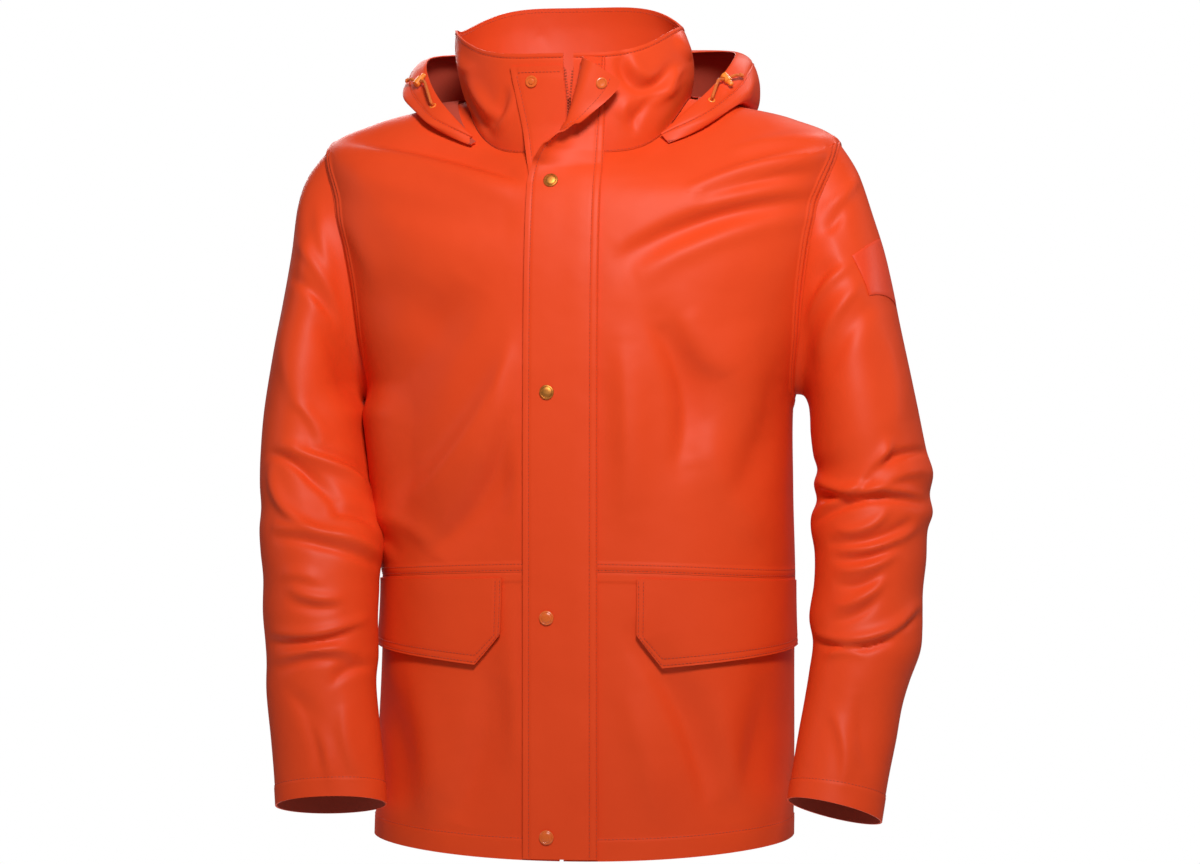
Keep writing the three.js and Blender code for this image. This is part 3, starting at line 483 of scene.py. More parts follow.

# The inner face is the bare polyester knit that the coat was laid on: dull, with fine wales. Its colour is set darker
# than the coat's as painted shade for the insides, such as the hood, and its tone varies at random.
knit_backing, backing = new_material("brushed_polyester_knit")
inside_at = add_node(knit_backing, "ShaderNodeTexCoord").outputs["Object"]
pile = add_node(knit_backing, "ShaderNodeTexNoise", Vector=inside_at, Scale=700.0, Detail=2.0)
tone = add_node(knit_backing, "ShaderNodeTexNoise", Vector=inside_at, Scale=22.0, Detail=3.0)
# Painted shade: both colours are darker than the coat so that they stand in for the shade inside the jacket and hood.
knit_tone_and_painted_shade = add_node(knit_backing, "ShaderNodeMix", {"data_type": "RGBA"}, _0=tone.outputs["Fac"],
                        _6=linear("#b03c28"), _7=linear("#c04a33"))
knit_bump = add_node(knit_backing, "ShaderNodeBump", Height=pile.outputs["Fac"], Strength=0.35, Distance=0.0006)
knit_backing.node_tree.links.new(knit_tone_and_painted_shade.outputs["Result"], backing.inputs["Base Color"])
knit_backing.node_tree.links.new(knit_bump.outputs["Normal"], backing.inputs["Normal"])
backing.inputs["Roughness"].default_value = 0.75

FRONT_COLUMNS = np.concatenate([rows_between(0, 0.952, 80), rows_between(0.952, 1, 16)[1:]])
LOWER_ROWS = np.concatenate([rows_between(0, 0.4, 20), rows_between(0.4, 2.8, 44)[1:],
                             rows_between(2.8, WAIST_ROW, 12)[1:]])
UPPER_ROWS = np.concatenate([rows_between(WAIST_ROW, 3.2, 14), rows_between(3.2, ARMPIT_ROW, 34)[1:],
                             armhole_rows(64)[1:], rows_between(SHOULDER_ROW, NECK_ROW, 34)[1:]])
HEM_ROW = 28 / 95
ROW_HEIGHT = 88


def front_place(side, share, row):
    """A place on a front from its zip edge, share 0, to the side seam or armhole, share 1."""
    return side * mix(front_edge_turn(side, row), side_turn(row), share)


def seam_relief(row, share, upper):
    """The ridges of the seams: the turned-up hem, and the double line beside the waist seam."""
    relief = np.zeros(np.broadcast(row, share).shape)
    from_waist = abs(row - WAIST_ROW) * ROW_HEIGHT
    relief += 0.7 * (1 - smooth(from_waist, 8.5, 11)) - 0.35 * near_edge(from_waist, 0, 1.5)
    if upper:
        relief -= 0.45 * near_edge(from_waist, 2, 1) + 0.45 * near_edge(from_waist, 8, 1)
    else:
        relief += 0.8 * (1 - smooth(row, HEM_ROW - 0.01, HEM_ROW + 0.03))
        relief -= 0.6 * near_edge(row, HEM_ROW, 0.012)
    return relief


def armhole_line(side, ahead, grow=1.0, count=90):
    """Turns and rows along the front or back half of an armhole, or of one grown about its middle."""
    up = (1 - np.cos(np.linspace(0, math.pi, count))) / 2
    row, middle = mix(ARMPIT_ROW, SHOULDER_ROW, up), (ARMPIT_ROW + SHOULDER_ROW) / 2
    return side * (math.pi / 2 - ahead * armhole_turn(row) * grow), middle + (row - middle) * grow


def away_from(points, line):
    """How far points are from the nearest point of a line."""
    flat = points.reshape(-1, 3)
    near = [np.sqrt(((part[:, None] - line[None]) ** 2).sum(-1).min(1)) for part in np.array_split(flat, 40)]
    return np.concatenate(near).reshape(points.shape[:-1])


def armhole_stitches(side, ahead, distance):
    """A line of stitches on the body that keeps its distance from the armhole."""
    edge = plain_body(*armhole_line(side, ahead, count=400))
    grow = np.full(90, 1 + distance / 75)
    for _ in range(4):
        far = away_from(plain_body(*armhole_line(side, ahead, grow)), edge)
        grow = 1 + (grow - 1) * distance / np.maximum(far, 0.1)
    turn, row = armhole_line(side, ahead, grow)
    return lying_on(body_point, turn, row, off=0.1)


def armhole_relief(turn, row, ahead, sides):
    """The allowance of the armhole seam, turned back on the body and held by its two rows."""
    points, relief = plain_body(turn, row), 0.0
    for side in sides:
        far = away_from(points, plain_body(*armhole_line(side, ahead, count=400)))
        relief = relief + 1.8 * (1 - smooth(far, 9.5, 12.5)) - 1.2 * near_edge(far, 2.5, 1.6)
        relief = relief - 1.2 * near_edge(far, 8.5, 1.6)
    return relief


ARMHOLE_ROWS_OF_STITCHES = (2.5, 8.5)
WAIST_STITCHES = (2.0, 8.0)


def front_panel(side, hand, rows, upper):
    gap = SEAM_GAP / 2 / ROW_HEIGHT
    rows = np.clip(rows, WAIST_ROW + gap, 99) if upper else np.clip(rows, 0, WAIST_ROW - gap)
    share, row = sheet_grid(FRONT_COLUMNS, rows)
    turn = front_place(side, share, row)
    relief = seam_relief(row, share, upper)
    along = np.linspace(0.012, 0.985, 120)

    def across_at(seam_row):
        return lying_on(body_point, front_place(side, along, seam_row + 0 * along), seam_row + 0 * along, off=0.1)

    if upper:
        relief = relief + armhole_relief(turn, row, 1, [side])
        lines = [across_at(WAIST_ROW + far / ROW_HEIGHT) for far in WAIST_STITCHES]
        lines += [armhole_stitches(side, 1, far) for far in ARMHOLE_ROWS_OF_STITCHES]
    else:
        lines = [across_at(HEM_ROW)]
    outer = body_point(turn, row, relief - 0.4)
    inner = body_point(turn, row, -0.4 - CLOTH)
    level = "upper" if upper else "lower"
    piece = shell(f"cloth_front_{hand}_{level}", outer, inner)
    sew_in(piece, f"front_{hand}_{level}", [topstitch(f"stitches_front_{hand}_{level}", lines)])


for front_side, front_hand in ((-1, "right"), (1, "left")):
    front_panel(front_side, front_hand, LOWER_ROWS, False)
    front_panel(front_side, front_hand, UPPER_ROWS, True)

# Back: one panel of the same coated knit from side seam to side seam, with both armholes and
# the turned-up hem.
BACK_COLUMNS = np.concatenate([rows_between(0, 0.025, 14), rows_between(0.025, 0.975, 100)[1:],
                               rows_between(0.975, 1, 14)[1:]])
share, row = sheet_grid(BACK_COLUMNS, np.concatenate([LOWER_ROWS, UPPER_ROWS[1:]]))
turn = mix(math.pi - side_turn(row), math.pi + side_turn(row), share)
hem = 0.8 * (1 - smooth(row, HEM_ROW - 0.01, HEM_ROW + 0.03)) - 0.6 * near_edge(row, HEM_ROW, 0.012)
back_outer = body_point(turn, row, hem + armhole_relief(turn, row, -1, [1, -1]) - 0.4)
back = shell("cloth_back", back_outer, body_point(turn, row, -0.4 - CLOTH))
hem_turn = np.linspace(math.pi / 2 + 0.02, 3 * math.pi / 2 - 0.02, 300)
back_lines = [lying_on(body_point, hem_turn, HEM_ROW + 0 * hem_turn, off=0.1)]
back_lines += [armhole_stitches(side, -1, far) for side in (1, -1) for far in ARMHOLE_ROWS_OF_STITCHES]
sew_in(back, "back", [topstitch("stitches_back", back_lines)])

# Sleeves: each is one piece joined under the arm, set into the armhole with a double topstitched
# seam, with its cuff edge turned in. Both bend a little at the elbow and crease there.
SLEEVE_COLUMNS = "outX outZ inX inZ mid deep"
LEFT_SLEEVE = table(
    SLEEVE_COLUMNS,
    [257, 697, 212, 447, 2, 58],
    [275, 668, 221, 446, 2, 66],
    [290, 625, 226, 437, 0, 73],
    [304, 579, 228, 424, -2, 78],
    [319, 507, 229, 408, -6, 80],
    [334, 438, 232, 388, -12, 78],
    [343, 395, 236, 374, -16, 74],
    [350, 371, 233, 360, -20, 71],
    [347, 350, 236, 344, -24, 69],
    [350, 332, 231, 329, -28, 68],
    [345, 314, 231, 315, -32, 66],
    [344, 286, 235, 293, -38, 65],
    [341, 255, 235, 264, -46, 63],
    [341, 220, 231, 232, -55, 60],
    [339, 198, 235, 207, -61, 58],
    [329, 170, 232, 180, -68, 55],
    [322, 145, 228, 153, -75, 52],
    [317, 114, 223, 122, -84, 48],
    [310, 76, 218, 86, -95, 45],
    [304, 36, 214, 55, -106, 42],
)
RIGHT_SLEEVE = table(
    SLEEVE_COLUMNS,
    [257, 697, 212, 447, 2, 58],
    [277, 672, 221, 446, 2, 66],
    [287, 644, 226, 437, 0, 73],
    [293, 598, 227, 423, -2, 78],
    [301, 545, 226, 407, -7, 81],
    [311, 484, 223, 391, -14, 80],
    [317, 433, 220, 375, -24, 77],
    [318, 390, 217, 358, -36, 73],
    [316, 360, 213, 342, -48, 70],
    [312, 337, 205, 326, -60, 67],
    [311, 315, 197, 305, -72, 65],
    [308, 293, 192, 283, -80, 63],
    [304, 268, 190, 259, -86, 61],
    [303, 235, 190, 230, -92, 59],
    [300, 205, 189, 206, -94, 57],
    [298, 186, 188, 190, -98, 54],
    [297, 156, 189, 164, -103, 51],
    [291, 110, 183, 118, -110, 47],
    [287, 74, 178, 82, -115, 44],
    [284, 42, 175, 48, -120, 41],
)
RIGHT_SLEEVE_FOLDS = table(
    FOLD_COLUMNS,
    [-284, 600, -240, 516, 5, 8, 0.5, 4],
    [-292, 566, -244, 520, 5, 9, 0.5, -4],
    [-262, 640, -246, 560, -4, 10, 0.7, 4],
    [-262, 520, -232, 440, 5, 14, 0.7, -4],
    [-300, 520, -280, 430, -4, 14, 0.7, 3.5],
    [-284, 440, -262, 396, 4, 9, 0.5, 4],
    [-298, 398, -216, 334, 10, 8.5, 0.8, 8],
    [-282, 396, -212, 346, 8, 5, 0.5, -5],
    [-310, 390, -244, 326, 10, 5.5, 0.5, -6],
    [-312, 378, -264, 312, -14, 7, 0.5, 5],
    [-250, 330, -208, 310, 3, 7, 0.6, -6.5],
    [-306, 316, -198, 282, 7, 6, 0.35, 6],
    [-304, 305, -198, 272, 7, 4, 0.6, -4],
    [-292, 254, -240, 244, -4, 7, 0.4, 4],
    [-300, 268, -262, 262, 3, 8, 0.8, 3],
    [-292, 240, -244, 236, -3, 5, 0.6, -2.5],
    [-308, 200, -226, 214, -7, 6, 0.4, -4.5],
    [-308, 210, -216, 224, -7, 7, 0.5, 4.5],
    [-304, 184, -228, 192, 5, 7, 0.5, 5],
    [-300, 174, -235, 182, 5, 5, 0.6, -3],
    [-250, 160, -212, 178, 4, 9, 0.6, -5],
    [-290, 150, -262, 80, 8, 12, 0.6, -4],
    [-238, 140, -226, 70, -5, 12, 0.6, 4],
    [-274, 130, -250, 60, 4, 10, 0.6, 3.5],
)
LEFT_SLEEVE_FOLDS = table(
    FOLD_COLUMNS,
    [224, 630, 276, 666, -7, 6.5, 0.5, 5],
    [230, 612, 262, 632, -5, 8, 0.5, -4.5],
    [224, 520, 268, 580, 6, 6, 0.5, 4.5],
    [232, 548, 262, 578, 8, 9, 0.5, -3.5],
    [236, 486, 276, 556, 6, 8, 0.5, 4],
    [246, 470, 290, 540, 6, 14, 0.7, -4],
    [300, 520, 318, 420, 6, 14, 0.7, 3.5],
    [234, 362, 290, 364, -10, 7, 0.5, 5.5],
    [284, 364, 308, 400, -4, 7, 0.5, 6],
    [234, 348, 268, 344, 0, 6, 0.5, -6],
    [276, 344, 344, 392, 14, 5, 0.4, -6],
    [290, 350, 346, 372, 6, 9, 0.6, 4],
    [229, 326, 338, 348, 14, 7, 0.3, 6.5],
    [229, 320, 338, 340, 14, 4, 0.5, -5.5],
    [256, 312, 306, 332, -8, 7, 0.5, 5],
    [250, 300, 330, 322, -8, 5, 0.6, -4],
    [262, 294, 336, 318, -8, 7, 0.5, 4.5],
    [254, 284, 316, 298, -6, 5, 0.6, -4],
    [258, 272, 312, 288, -5, 7, 0.5, 4.5],
    [256, 258, 300, 268, -5, 5, 0.6, -3.5],
    [256, 236, 302, 262, -5, 7, 0.5, 4.5],
    [252, 222, 296, 244, -5, 6, 0.6, -3],
    [234, 208, 336, 236, -18, 8, 0.35, 6],
    [234, 202, 336, 228, -18, 4, 0.5, -5],
    [246, 188, 280, 190, 4, 5, 0.6, 4],
    [300, 206, 326, 216, -3, 7, 0.6, 3],
    [252, 130, 262, 60, 6, 10, 0.6, 4],
    [280, 150, 290, 70, -4, 14, 0.6, -3.5],
)
BACK_SLEEVE_FOLDS = table(
    FOLD_COLUMNS,
    [225, 380, 340, 410, 10, 12, 0.5, 5],
    [225, 350, 345, 366, -8, 10, 0.5, -4],
    [225, 330, 345, 330, 8, 10, 0.5, 5],
    [225, 280, 340, 300, 8, 10, 0.6, 4],
    [225, 215, 335, 205, -8, 9, 0.5, -3.5],
    [225, 190, 330, 186, 6, 9, 0.5, 3.5],
    [235, 600, 290, 540, 8, 16, 0.6, 4],
    [235, 520, 310, 470, 8, 18, 0.6, -4],
)
MIRRORED_BACK_FOLDS = {**BACK_SLEEVE_FOLDS, "across1": -BACK_SLEEVE_FOLDS["across1"],
                       "across2": -BACK_SLEEVE_FOLDS["across2"], "bow": -BACK_SLEEVE_FOLDS["bow"]}
CAP_ROWS = 5
CUFF_ROW = 18.35
CUFF_TIP, CUFF_TIP_MIDDLE, CUFF_TIP_START = 13, 0.25, 16
SLEEVES = {1: (LEFT_SLEEVE, LEFT_SLEEVE_FOLDS, BACK_SLEEVE_FOLDS),
           -1: (RIGHT_SLEEVE, RIGHT_SLEEVE_FOLDS, MIRRORED_BACK_FOLDS)}


def armhole_place(side, turn):
    """The turn and row on the body of a place on the armhole, by its turn round the sleeve."""
    eased_in = 0.994
    up = np.where(turn <= math.pi, turn, 2 * math.pi - turn) / math.pi
    middle = (ARMPIT_ROW + SHOULDER_ROW) / 2
    row = mix(ARMPIT_ROW, SHOULDER_ROW, up)
    towards_front = np.where(turn <= math.pi, -1, 1)
    body_turn = math.pi / 2 + towards_front * armhole_turn(row) * eased_in
    return side * body_turn, middle + (row - middle) * eased_in


def sleeve_section(side, turn, at):
    value = {name: between(column, at) for name, column in SLEEVES[side][0].items()}
    middle = np.stack([side * (value["outX"] + value["inX"]) / 2, value["mid"],
                       (value["outZ"] + value["inZ"]) / 2], -1)
    across = np.stack([side * (value["outX"] - value["inX"]) / 2, 0 * value["mid"],
                       (value["outZ"] - value["inZ"]) / 2], -1)
    deep = np.stack([0 * value["mid"], -value["deep"], 0 * value["mid"]], -1)
    tip = CUFF_TIP * smooth(at, CUFF_TIP_START, 19) * (np.sin(turn) + CUFF_TIP_MIDDLE)
    return middle - across * np.cos(turn)[..., None] + deep * np.sin(turn)[..., None] + tip[..., None] * [0, 0, 1]


def sleeve_point(side, turn, at, off=0.0):
    """A point of a sleeve, at a turn from its inner side by way of the front."""
    def eased_shape(t, r):
        eased = 1 - smooth(r, 0, CAP_ROWS)
        hole = body_point(*armhole_place(side, t)) - sleeve_section(side, t, np.zeros_like(r))
        return sleeve_section(side, t, r) + hole * eased[..., None]

    def plain_shape(t, r):
        return sleeve_section(side, t, r)

    turn, at = np.broadcast_arrays(turn, at)
    p = eased_shape(turn, at)
    normal = -side * normal_of(plain_shape, turn, np.maximum(at, 0.02))
    seam = unit(body_normal(*armhole_place(side, turn)) + normal)
    normal = unit(mix(seam, normal, smooth(at, 0, 0.5)[..., None]))
    facing = unit(mix(body_normal(*armhole_place(side, turn)), normal, smooth(at, 0, 2)[..., None]))
    folds = folded(p, facing, *SLEEVES[side][1:]) * smooth(at, 0.1, 1.2)
    if side < 0:
        folds = folds + SIDE_FULLNESS * touching(p[..., 2]) * smooth(np.cos(turn), 0.2, 0.9)
    return p + normal * (folds + off)[..., None]


def even_rows(side, end, count):
    """Rows at even steps down the outer side of a sleeve, finer from above the elbow on."""
    at = np.linspace(0, end, 400)
    line = sleeve_section(side, np.full_like(at, math.pi), at)
    steps = np.linalg.norm(np.diff(line, axis=0), axis=1) * mix(0.6, 1, smooth(at[1:], 3.5, 5.5))
    run = np.concatenate([[0], np.cumsum(steps)])
    return np.interp(np.linspace(0, run[-1], count + 1), run, at)


def sleeve(side, hand):
    share = np.linspace(0, 1, 161)[:-1]
    at = np.concatenate([even_rows(side, 18.2, 220), rows_between(18.2, 19, 16)[1:]])
    share, at = sheet_grid(share, at)
    half = np.where(share <= 0.5, share * 2, 2 - share * 2)
    gathered = (1 - np.cos(math.pi * half)) / 2
    half = mix(half, gathered, (1 - smooth(at, 0, CAP_ROWS)) * 0.9)
    turn = np.where(share <= 0.5, half, 2 - half) * math.pi
    cuff = 0.7 * smooth(at, CUFF_ROW - 0.03, CUFF_ROW + 0.01) - 0.6 * near_edge(at, CUFF_ROW, 0.03)
    outer = sleeve_point(side, turn, at, cuff - 0.2)
    inner = sleeve_point(side, turn, at, np.full_like(at, -0.2 - CLOTH))
    piece = shell(f"cloth_sleeve_{hand}", outer, inner, ring=True)
    round_cuff = np.linspace(0, 2 * math.pi, 160)
    line = lying_on(lambda t, r, off: sleeve_point(side, t, r, off), round_cuff, CUFF_ROW + 0 * round_cuff)
    thread = topstitch(f"stitches_cuff_{hand}", [line])
    sew_in(piece, f"sleeve_{hand}", [thread])


sleeve(-1, "right")
sleeve(1, "left")

# Collar: a stand collar of two layers, topstitched 6 mm from its edge. It is sewn to the neck
# seam, stands a little away from the neck, and is open in a narrow V above the closed zip.
COLLAR = table(
    RING_COLUMNS,
    [683, 743, 753, 112, 92, 72, 2, -3, 5],
    [706, 760, 776, 117, 92, 80, 2.1, -5, 4.5],
    [731, 778, 800, 119, 92, 84, 2.15, -7, 4],
    [756, 796, 824, 118, 93, 85, 2.2, -10, 4],
    [779, 814, 846, 114, 95, 82, 2.2, -13, 4],
)
COLLAR_TOP = 4
COLLAR_FRONT_TOP = 779
NECK_V_BOTTOM, NECK_V_TOP, NECK_V_EDGE = 728, 768, 5
COLLAR_FOLDS = table(
    FOLD_COLUMNS,
    [-124, 764, -92, 706, -4, 6, 0.5, -5.5],
    [-116, 772, -84, 722, -4, 7, 0.6, 4.5],
    [-92, 716, -74, 752, -3, 5, 0.5, -4],
    [-84, 712, -66, 756, -2, 6, 0.6, 3.5],
    [-130, 790, -112, 772, -3, 7, 0.6, 4],
    [36, 786, 58, 752, -5, 7, 0.5, -5],
    [56, 752, 90, 776, -6, 7, 0.5, -5.5],
    [48, 790, 72, 764, -6, 9, 0.7, 4.5],
    [60, 742, 98, 762, -6, 8, 0.6, 4],
    [96, 810, 112, 784, -3, 8, 0.6, 5],
    [84, 748, 100, 776, 3, 7, 0.6, 4],
    [52, 712, 60, 734, 3, 5, 0.5, -4],
    [58, 734, 84, 746, 4, 5, 0.5, -3.5],
    [40, 722, 50, 744, 3, 8, 0.6, 3],
)
COLLAR_BACK_FOLDS = table(
    FOLD_COLUMNS,
    [-70, 760, 20, 776, 6, 9, 0.6, -3],
    [10, 800, 80, 782, -6, 12, 0.7, 3],
    [-60, 820, -20, 790, 4, 12, 0.7, 2.5],
)


def plain_collar(turn, row):
    return ring_point(COLLAR, turn, row)


def neck_vee(up):
    return mix(FRONT_EDGE, NECK_V_EDGE, smooth(up, NECK_V_BOTTOM, NECK_V_TOP))


def collar_turn(place, row):
    side = np.where(place < math.pi, 1, -1)
    from_front = np.where(place < math.pi, place, 2 * math.pi - place)
    edge_x = neck_vee(between(COLLAR["frontZ"], row)) - side * between(COLLAR["lean"], row)
    edge = np.arctan(edge_x / between(COLLAR["front"], row))
    eased = np.where(from_front > math.pi / 2, from_front, mix(edge, math.pi / 2, from_front * 2 / math.pi))
    return np.where(side > 0, eased, 2 * math.pi - eased)


def collar_point(place, row, off=0.0):
    turn = collar_turn(place, row)
    p = plain_collar(turn, row)
    n = normal_of(plain_collar, turn, row)
    foot = np.full_like(row, NECK_ROW)
    seam = body_point(turn, foot)
    upwards = unit(seam - body_point(turn, foot - 0.1))
    near = (1 - smooth(row, 0, 0.6))[..., None]
    p = p + (seam + upwards * SEAM_GAP - plain_collar(turn, np.zeros_like(row))) * near
    n = unit(mix(n, unit(body_normal(turn, foot) + n), near))
    quiet = smooth(row, 0, 0.7) * smooth(abs(p[..., 0] + 5), 34, 62)
    return p + n * (folded(p, n, COLLAR_FOLDS, COLLAR_BACK_FOLDS) * quiet + off)[..., None]


place, row = sheet_grid(np.linspace(0, 2 * math.pi, 241),
                        np.concatenate([rows_between(0, 3.6, 44), rows_between(3.6, COLLAR_TOP, 12)[1:]]))
row_tall = 24
from_top = (COLLAR_TOP - row) * row_tall
rolled = 0.5 * (1 - smooth(from_top, 5, 7)) - 0.4 * near_edge(from_top, 6, 1.2)
collar_outer = collar_point(place, row, rolled - 0.3)
collar = shell("cloth_collar", collar_outer, collar_point(place, row, np.full_like(row, -1.9)))
collar.data.materials[1] = coated_cloth
round_neck = np.linspace(0.02, 2 * math.pi - 0.02, 300)
collar_lines = [lying_on(collar_point, round_neck, COLLAR_TOP - 6 / row_tall + 0 * round_neck, off=off)
                for off in (-0.1,)]
collar_lines += [lying_on(collar_point, round_neck, 0.1 + 0 * round_neck, off=-0.2)]
inner_on, inner_above = lying_on(collar_point, round_neck, COLLAR_TOP - 6 / row_tall + 0 * round_neck, off=-1.95)
collar_lines += [(inner_on, 2 * inner_on - inner_above)]
sew_in(collar, "collar", [topstitch("stitches_collar", collar_lines)])

# Hood: one layer of the coated knit sewn to the neck seam, lying open behind the collar. Its
# casing is the turned rim, which holds the cord and is stitched 18 mm from its edge.
HOOD = table(
    "turn rimReach rimUp bandReach bandUp outReach outUp lowRow lowOff inRow inOff seamRow",
    [56, 112.5, 702.5, 114, 701.5, 115.5, 700, 11.5, 2.2, 11.58, 2, 11.66],
    [68, 129, 729, 142, 721, 147, 715, 11.22, 3, 11.45, 2.4, 11.68],
    [79, 139, 748, 154, 738, 161, 732, 11.05, 3, 11.35, 2.4, 11.72],
    [89, 149, 767, 166, 756, 175, 748, 10.9, 4, 11.3, 3, 11.76],
    [98, 158, 784, 174, 773, 181, 759, 10.75, 5, 11.3, 4, 11.86],
    [109, 163, 795, 181, 786, 190, 756, 10.3, 8, 11.1, 6, 11.86],
    [123, 154, 800, 174, 793, 195, 738, 9.5, 15, 10.6, 8, 11.86],
    [141, 140, 802, 161, 796, 194, 714, 8.4, 26, 9.9, 12, 11.86],
    [161, 132, 803, 153, 797, 193, 697, 7.8, 32, 9.5, 14, 11.86],
    [180, 130, 803, 151, 797, 193, 690, 7.6, 34, 9.3, 14, 11.86],
)
HOOD_END = 9
HOOD_LEAN = -7
HOOD_SWAY = (1, 1, 1, 0.5, 0.4, 0.4)
BAND_EDGE = 1
HOOD_FOLDS = table(
    FOLD_COLUMNS,
    [-168, 752, -140, 722, 4, 7, 0.6, -2],
    [148, 790, 158, 762, 4, 8, 0.6, -2],
)
HOOD_BACK_FOLDS = table(
    FOLD_COLUMNS,
    [-60, 780, -20, 700, 10, 22, 0.5, 5],
    [60, 780, 25, 700, -10, 22, 0.5, 5],
    [-110, 770, -70, 700, 8, 18, 0.6, -4],
    [110, 770, 70, 700, -8, 18, 0.6, -4],
    [-15, 770, 5, 690, 4, 16, 0.7, -3],
    [-130, 750, -95, 712, 6, 10, 0.6, 3],
    [130, 750, 95, 712, -6, 10, 0.6, 3],
)


def hood_shape(across, place):
    """across runs from the rim, 0, by the casing's edge, 1, and the outside to the seam, 5."""
    row = HOOD_END - abs(place)
    side = np.where(place < 0, -1, 1)
    value = {name: between(column, row) for name, column in HOOD.items()}
    turn = np.radians(value["turn"])

    def free(reach, up):
        return np.stack([value[reach] * np.sin(turn), -value[reach] * np.cos(turn), value[up]], -1)

    def on_body(at, off):
        p = plain_body(turn, at) + body_normal(turn, at) * np.asarray(off)[..., None]
        return p - np.stack([between(BODY["lean"], at), 0 * at, 0 * at], -1)

    line = [free("rimReach", "rimUp"), free("bandReach", "bandUp"), free("outReach", "outUp"),
            on_body(value["lowRow"], value["lowOff"]), on_body(value["inRow"], value["inOff"]),
            on_body(value["seamRow"], 1.8 + 0 * row)]
    line = np.stack([p * np.stack([side, 1 + 0 * row, 1 + 0 * row], -1) + [HOOD_LEAN * sway, 0, 0]
                     for p, sway in zip(line, HOOD_SWAY)])
    return blended(line, across)


def blended(line, at):
    """The smooth curve through the points of a line, which are stacked along its first axis."""
    last = len(line) - 1
    at = np.asarray(at, float)
    i = np.clip(np.floor(at).astype(int), 0, last - 1)
    f = at - i
    deep = line.ndim == at.ndim + 2

    def pick(k):
        j = np.clip(i + k, 0, last)[None]
        return np.take_along_axis(line, j[..., None] if deep else j, 0)[0]

    a, b, c, d = (pick(k) for k in (-1, 0, 1, 2))
    if deep:
        f = f[..., None]
    return b + 0.5 * f * (c - a + f * (2 * a - 5 * b + 4 * c - d + f * (3 * (b - c) + d - a)))


def hood_point(across, place, off=0.0):
    step = 0.01
    clear = np.clip(place, step - HOOD_END, HOOD_END - step)
    over = hood_shape(across + step, clear) - hood_shape(across - step, clear)
    along = hood_shape(across, clear + step) - hood_shape(across, clear - step)
    n = unit(np.cross(along, over))
    p = hood_shape(across, place)
    loose = smooth(across, 1.1, 1.8) * (1 - smooth(across, 2.4, 3))
    folds = folded(p, n, HOOD_FOLDS, HOOD_BACK_FOLDS)
    return p + n * (folds * loose + off)[..., None]


def hood_sheet(name, node, across, lift, threads=()):
    across, place = sheet_grid(across, np.linspace(-HOOD_END, HOOD_END, 201))
    outer = hood_point(across, place, lift(across) - 0.1)
    piece = shell(name, outer, hood_point(across, place, np.full_like(across, -1.1)))
    sew_in(piece, node, threads)


hood_sheet("cloth_hood_casing", "hood_casing", np.linspace(0, BAND_EDGE, 13),
           lambda across: 1.1 * np.sin(math.pi * across) ** 0.6 - 0.1)
casing_line = np.linspace(-HOOD_END + 0.1, HOOD_END - 0.1, 300)
casing_stitches = topstitch("stitches_casing", [lying_on(hood_point, 1.1 + 0 * casing_line, casing_line)])
hood_sheet("cloth_hood", "hood", np.concatenate([rows_between(1.002, 3, 44), rows_between(3, 5, 24)[1:]]),
           lambda across: -0.5 * near_edge(across, 1.02, 0.04), [casing_stitches])

# Zip: a woven tape behind each front edge carries moulded teeth, from the hem to the V of the
# collar, where the two rows part.
ZIP_FOOT, ZIP_TOP = 14, 766
TAPE_WIDTH = 13
GRID_STEP = 2.0
grid_x = np.arange(-80, 80 + GRID_STEP, GRID_STEP)
grid_up = np.arange(-30, 812, GRID_STEP)


def front_row(x, at):
    """The front face at a distance from the centre line, on the body or above it on the collar."""
    value = {name: np.where(at < NECK_ROW, between(BODY[name], at), between(COLLAR[name], at - NECK_ROW))
             for name in BODY}
    share = abs((x - value["lean"]) / value["half"])
    y = -value["front"] * (1 - share ** value["square"]) ** (1 / value["square"])
    return y, mix(value["frontZ"], value["sideZ"], share ** value["rise"])


def front_depth():
    """How far forward the front lies, over a grid of places on it."""
    x, up = np.meshgrid(grid_x, grid_up)
    low, high = np.full_like(x, -0.5), np.full_like(x, NECK_ROW + COLLAR_TOP + 0.5)
    for _ in range(26):
        middle = (low + high) / 2
        below = front_row(x, middle)[1] < up
        low, high = np.where(below, middle, low), np.where(below, high, middle)
    return front_row(x, low)[0]


def sampled(depths, x, up):
    """A depth between the places of the grid."""
    i = np.clip((x - grid_x[0]) / GRID_STEP, 0, len(grid_x) - 1.001)
    j = np.clip((up - grid_up[0]) / GRID_STEP, 0, len(grid_up) - 1.001)
    a, b = i.astype(int), j.astype(int)
    f, g = i - a, j - b
    return mix(mix(depths[b, a], depths[b, a + 1], f), mix(depths[b + 1, a], depths[b + 1, a + 1], f), g)


front_face = front_depth()
BRIDGE = 26
taps = [sampled(front_face, *np.meshgrid(grid_x, np.clip(grid_up + BRIDGE * k, 0, COLLAR_FRONT_TOP)))
        for k in (-1, -0.5, 0, 0.5, 1)]
bridged_face = np.minimum(np.mean(taps, 0), front_face)


def strip_normal(depths, x, up):
    across = (sampled(depths, x + 2, up) - sampled(depths, x - 2, up)) / 4
    along = (sampled(depths, x, up + 2) - sampled(depths, x, up - 2)) / 4
    return unit(np.stack([across, -1 + 0 * across, along], -1))


def strip_point(depths, x, up, off):
    x, up = np.broadcast_arrays(np.asarray(x, float), np.asarray(up, float))
    p = np.stack([x, sampled(depths, x, up), up], -1)
    return p + strip_normal(depths, x, up) * np.asarray(off, float)[..., None]


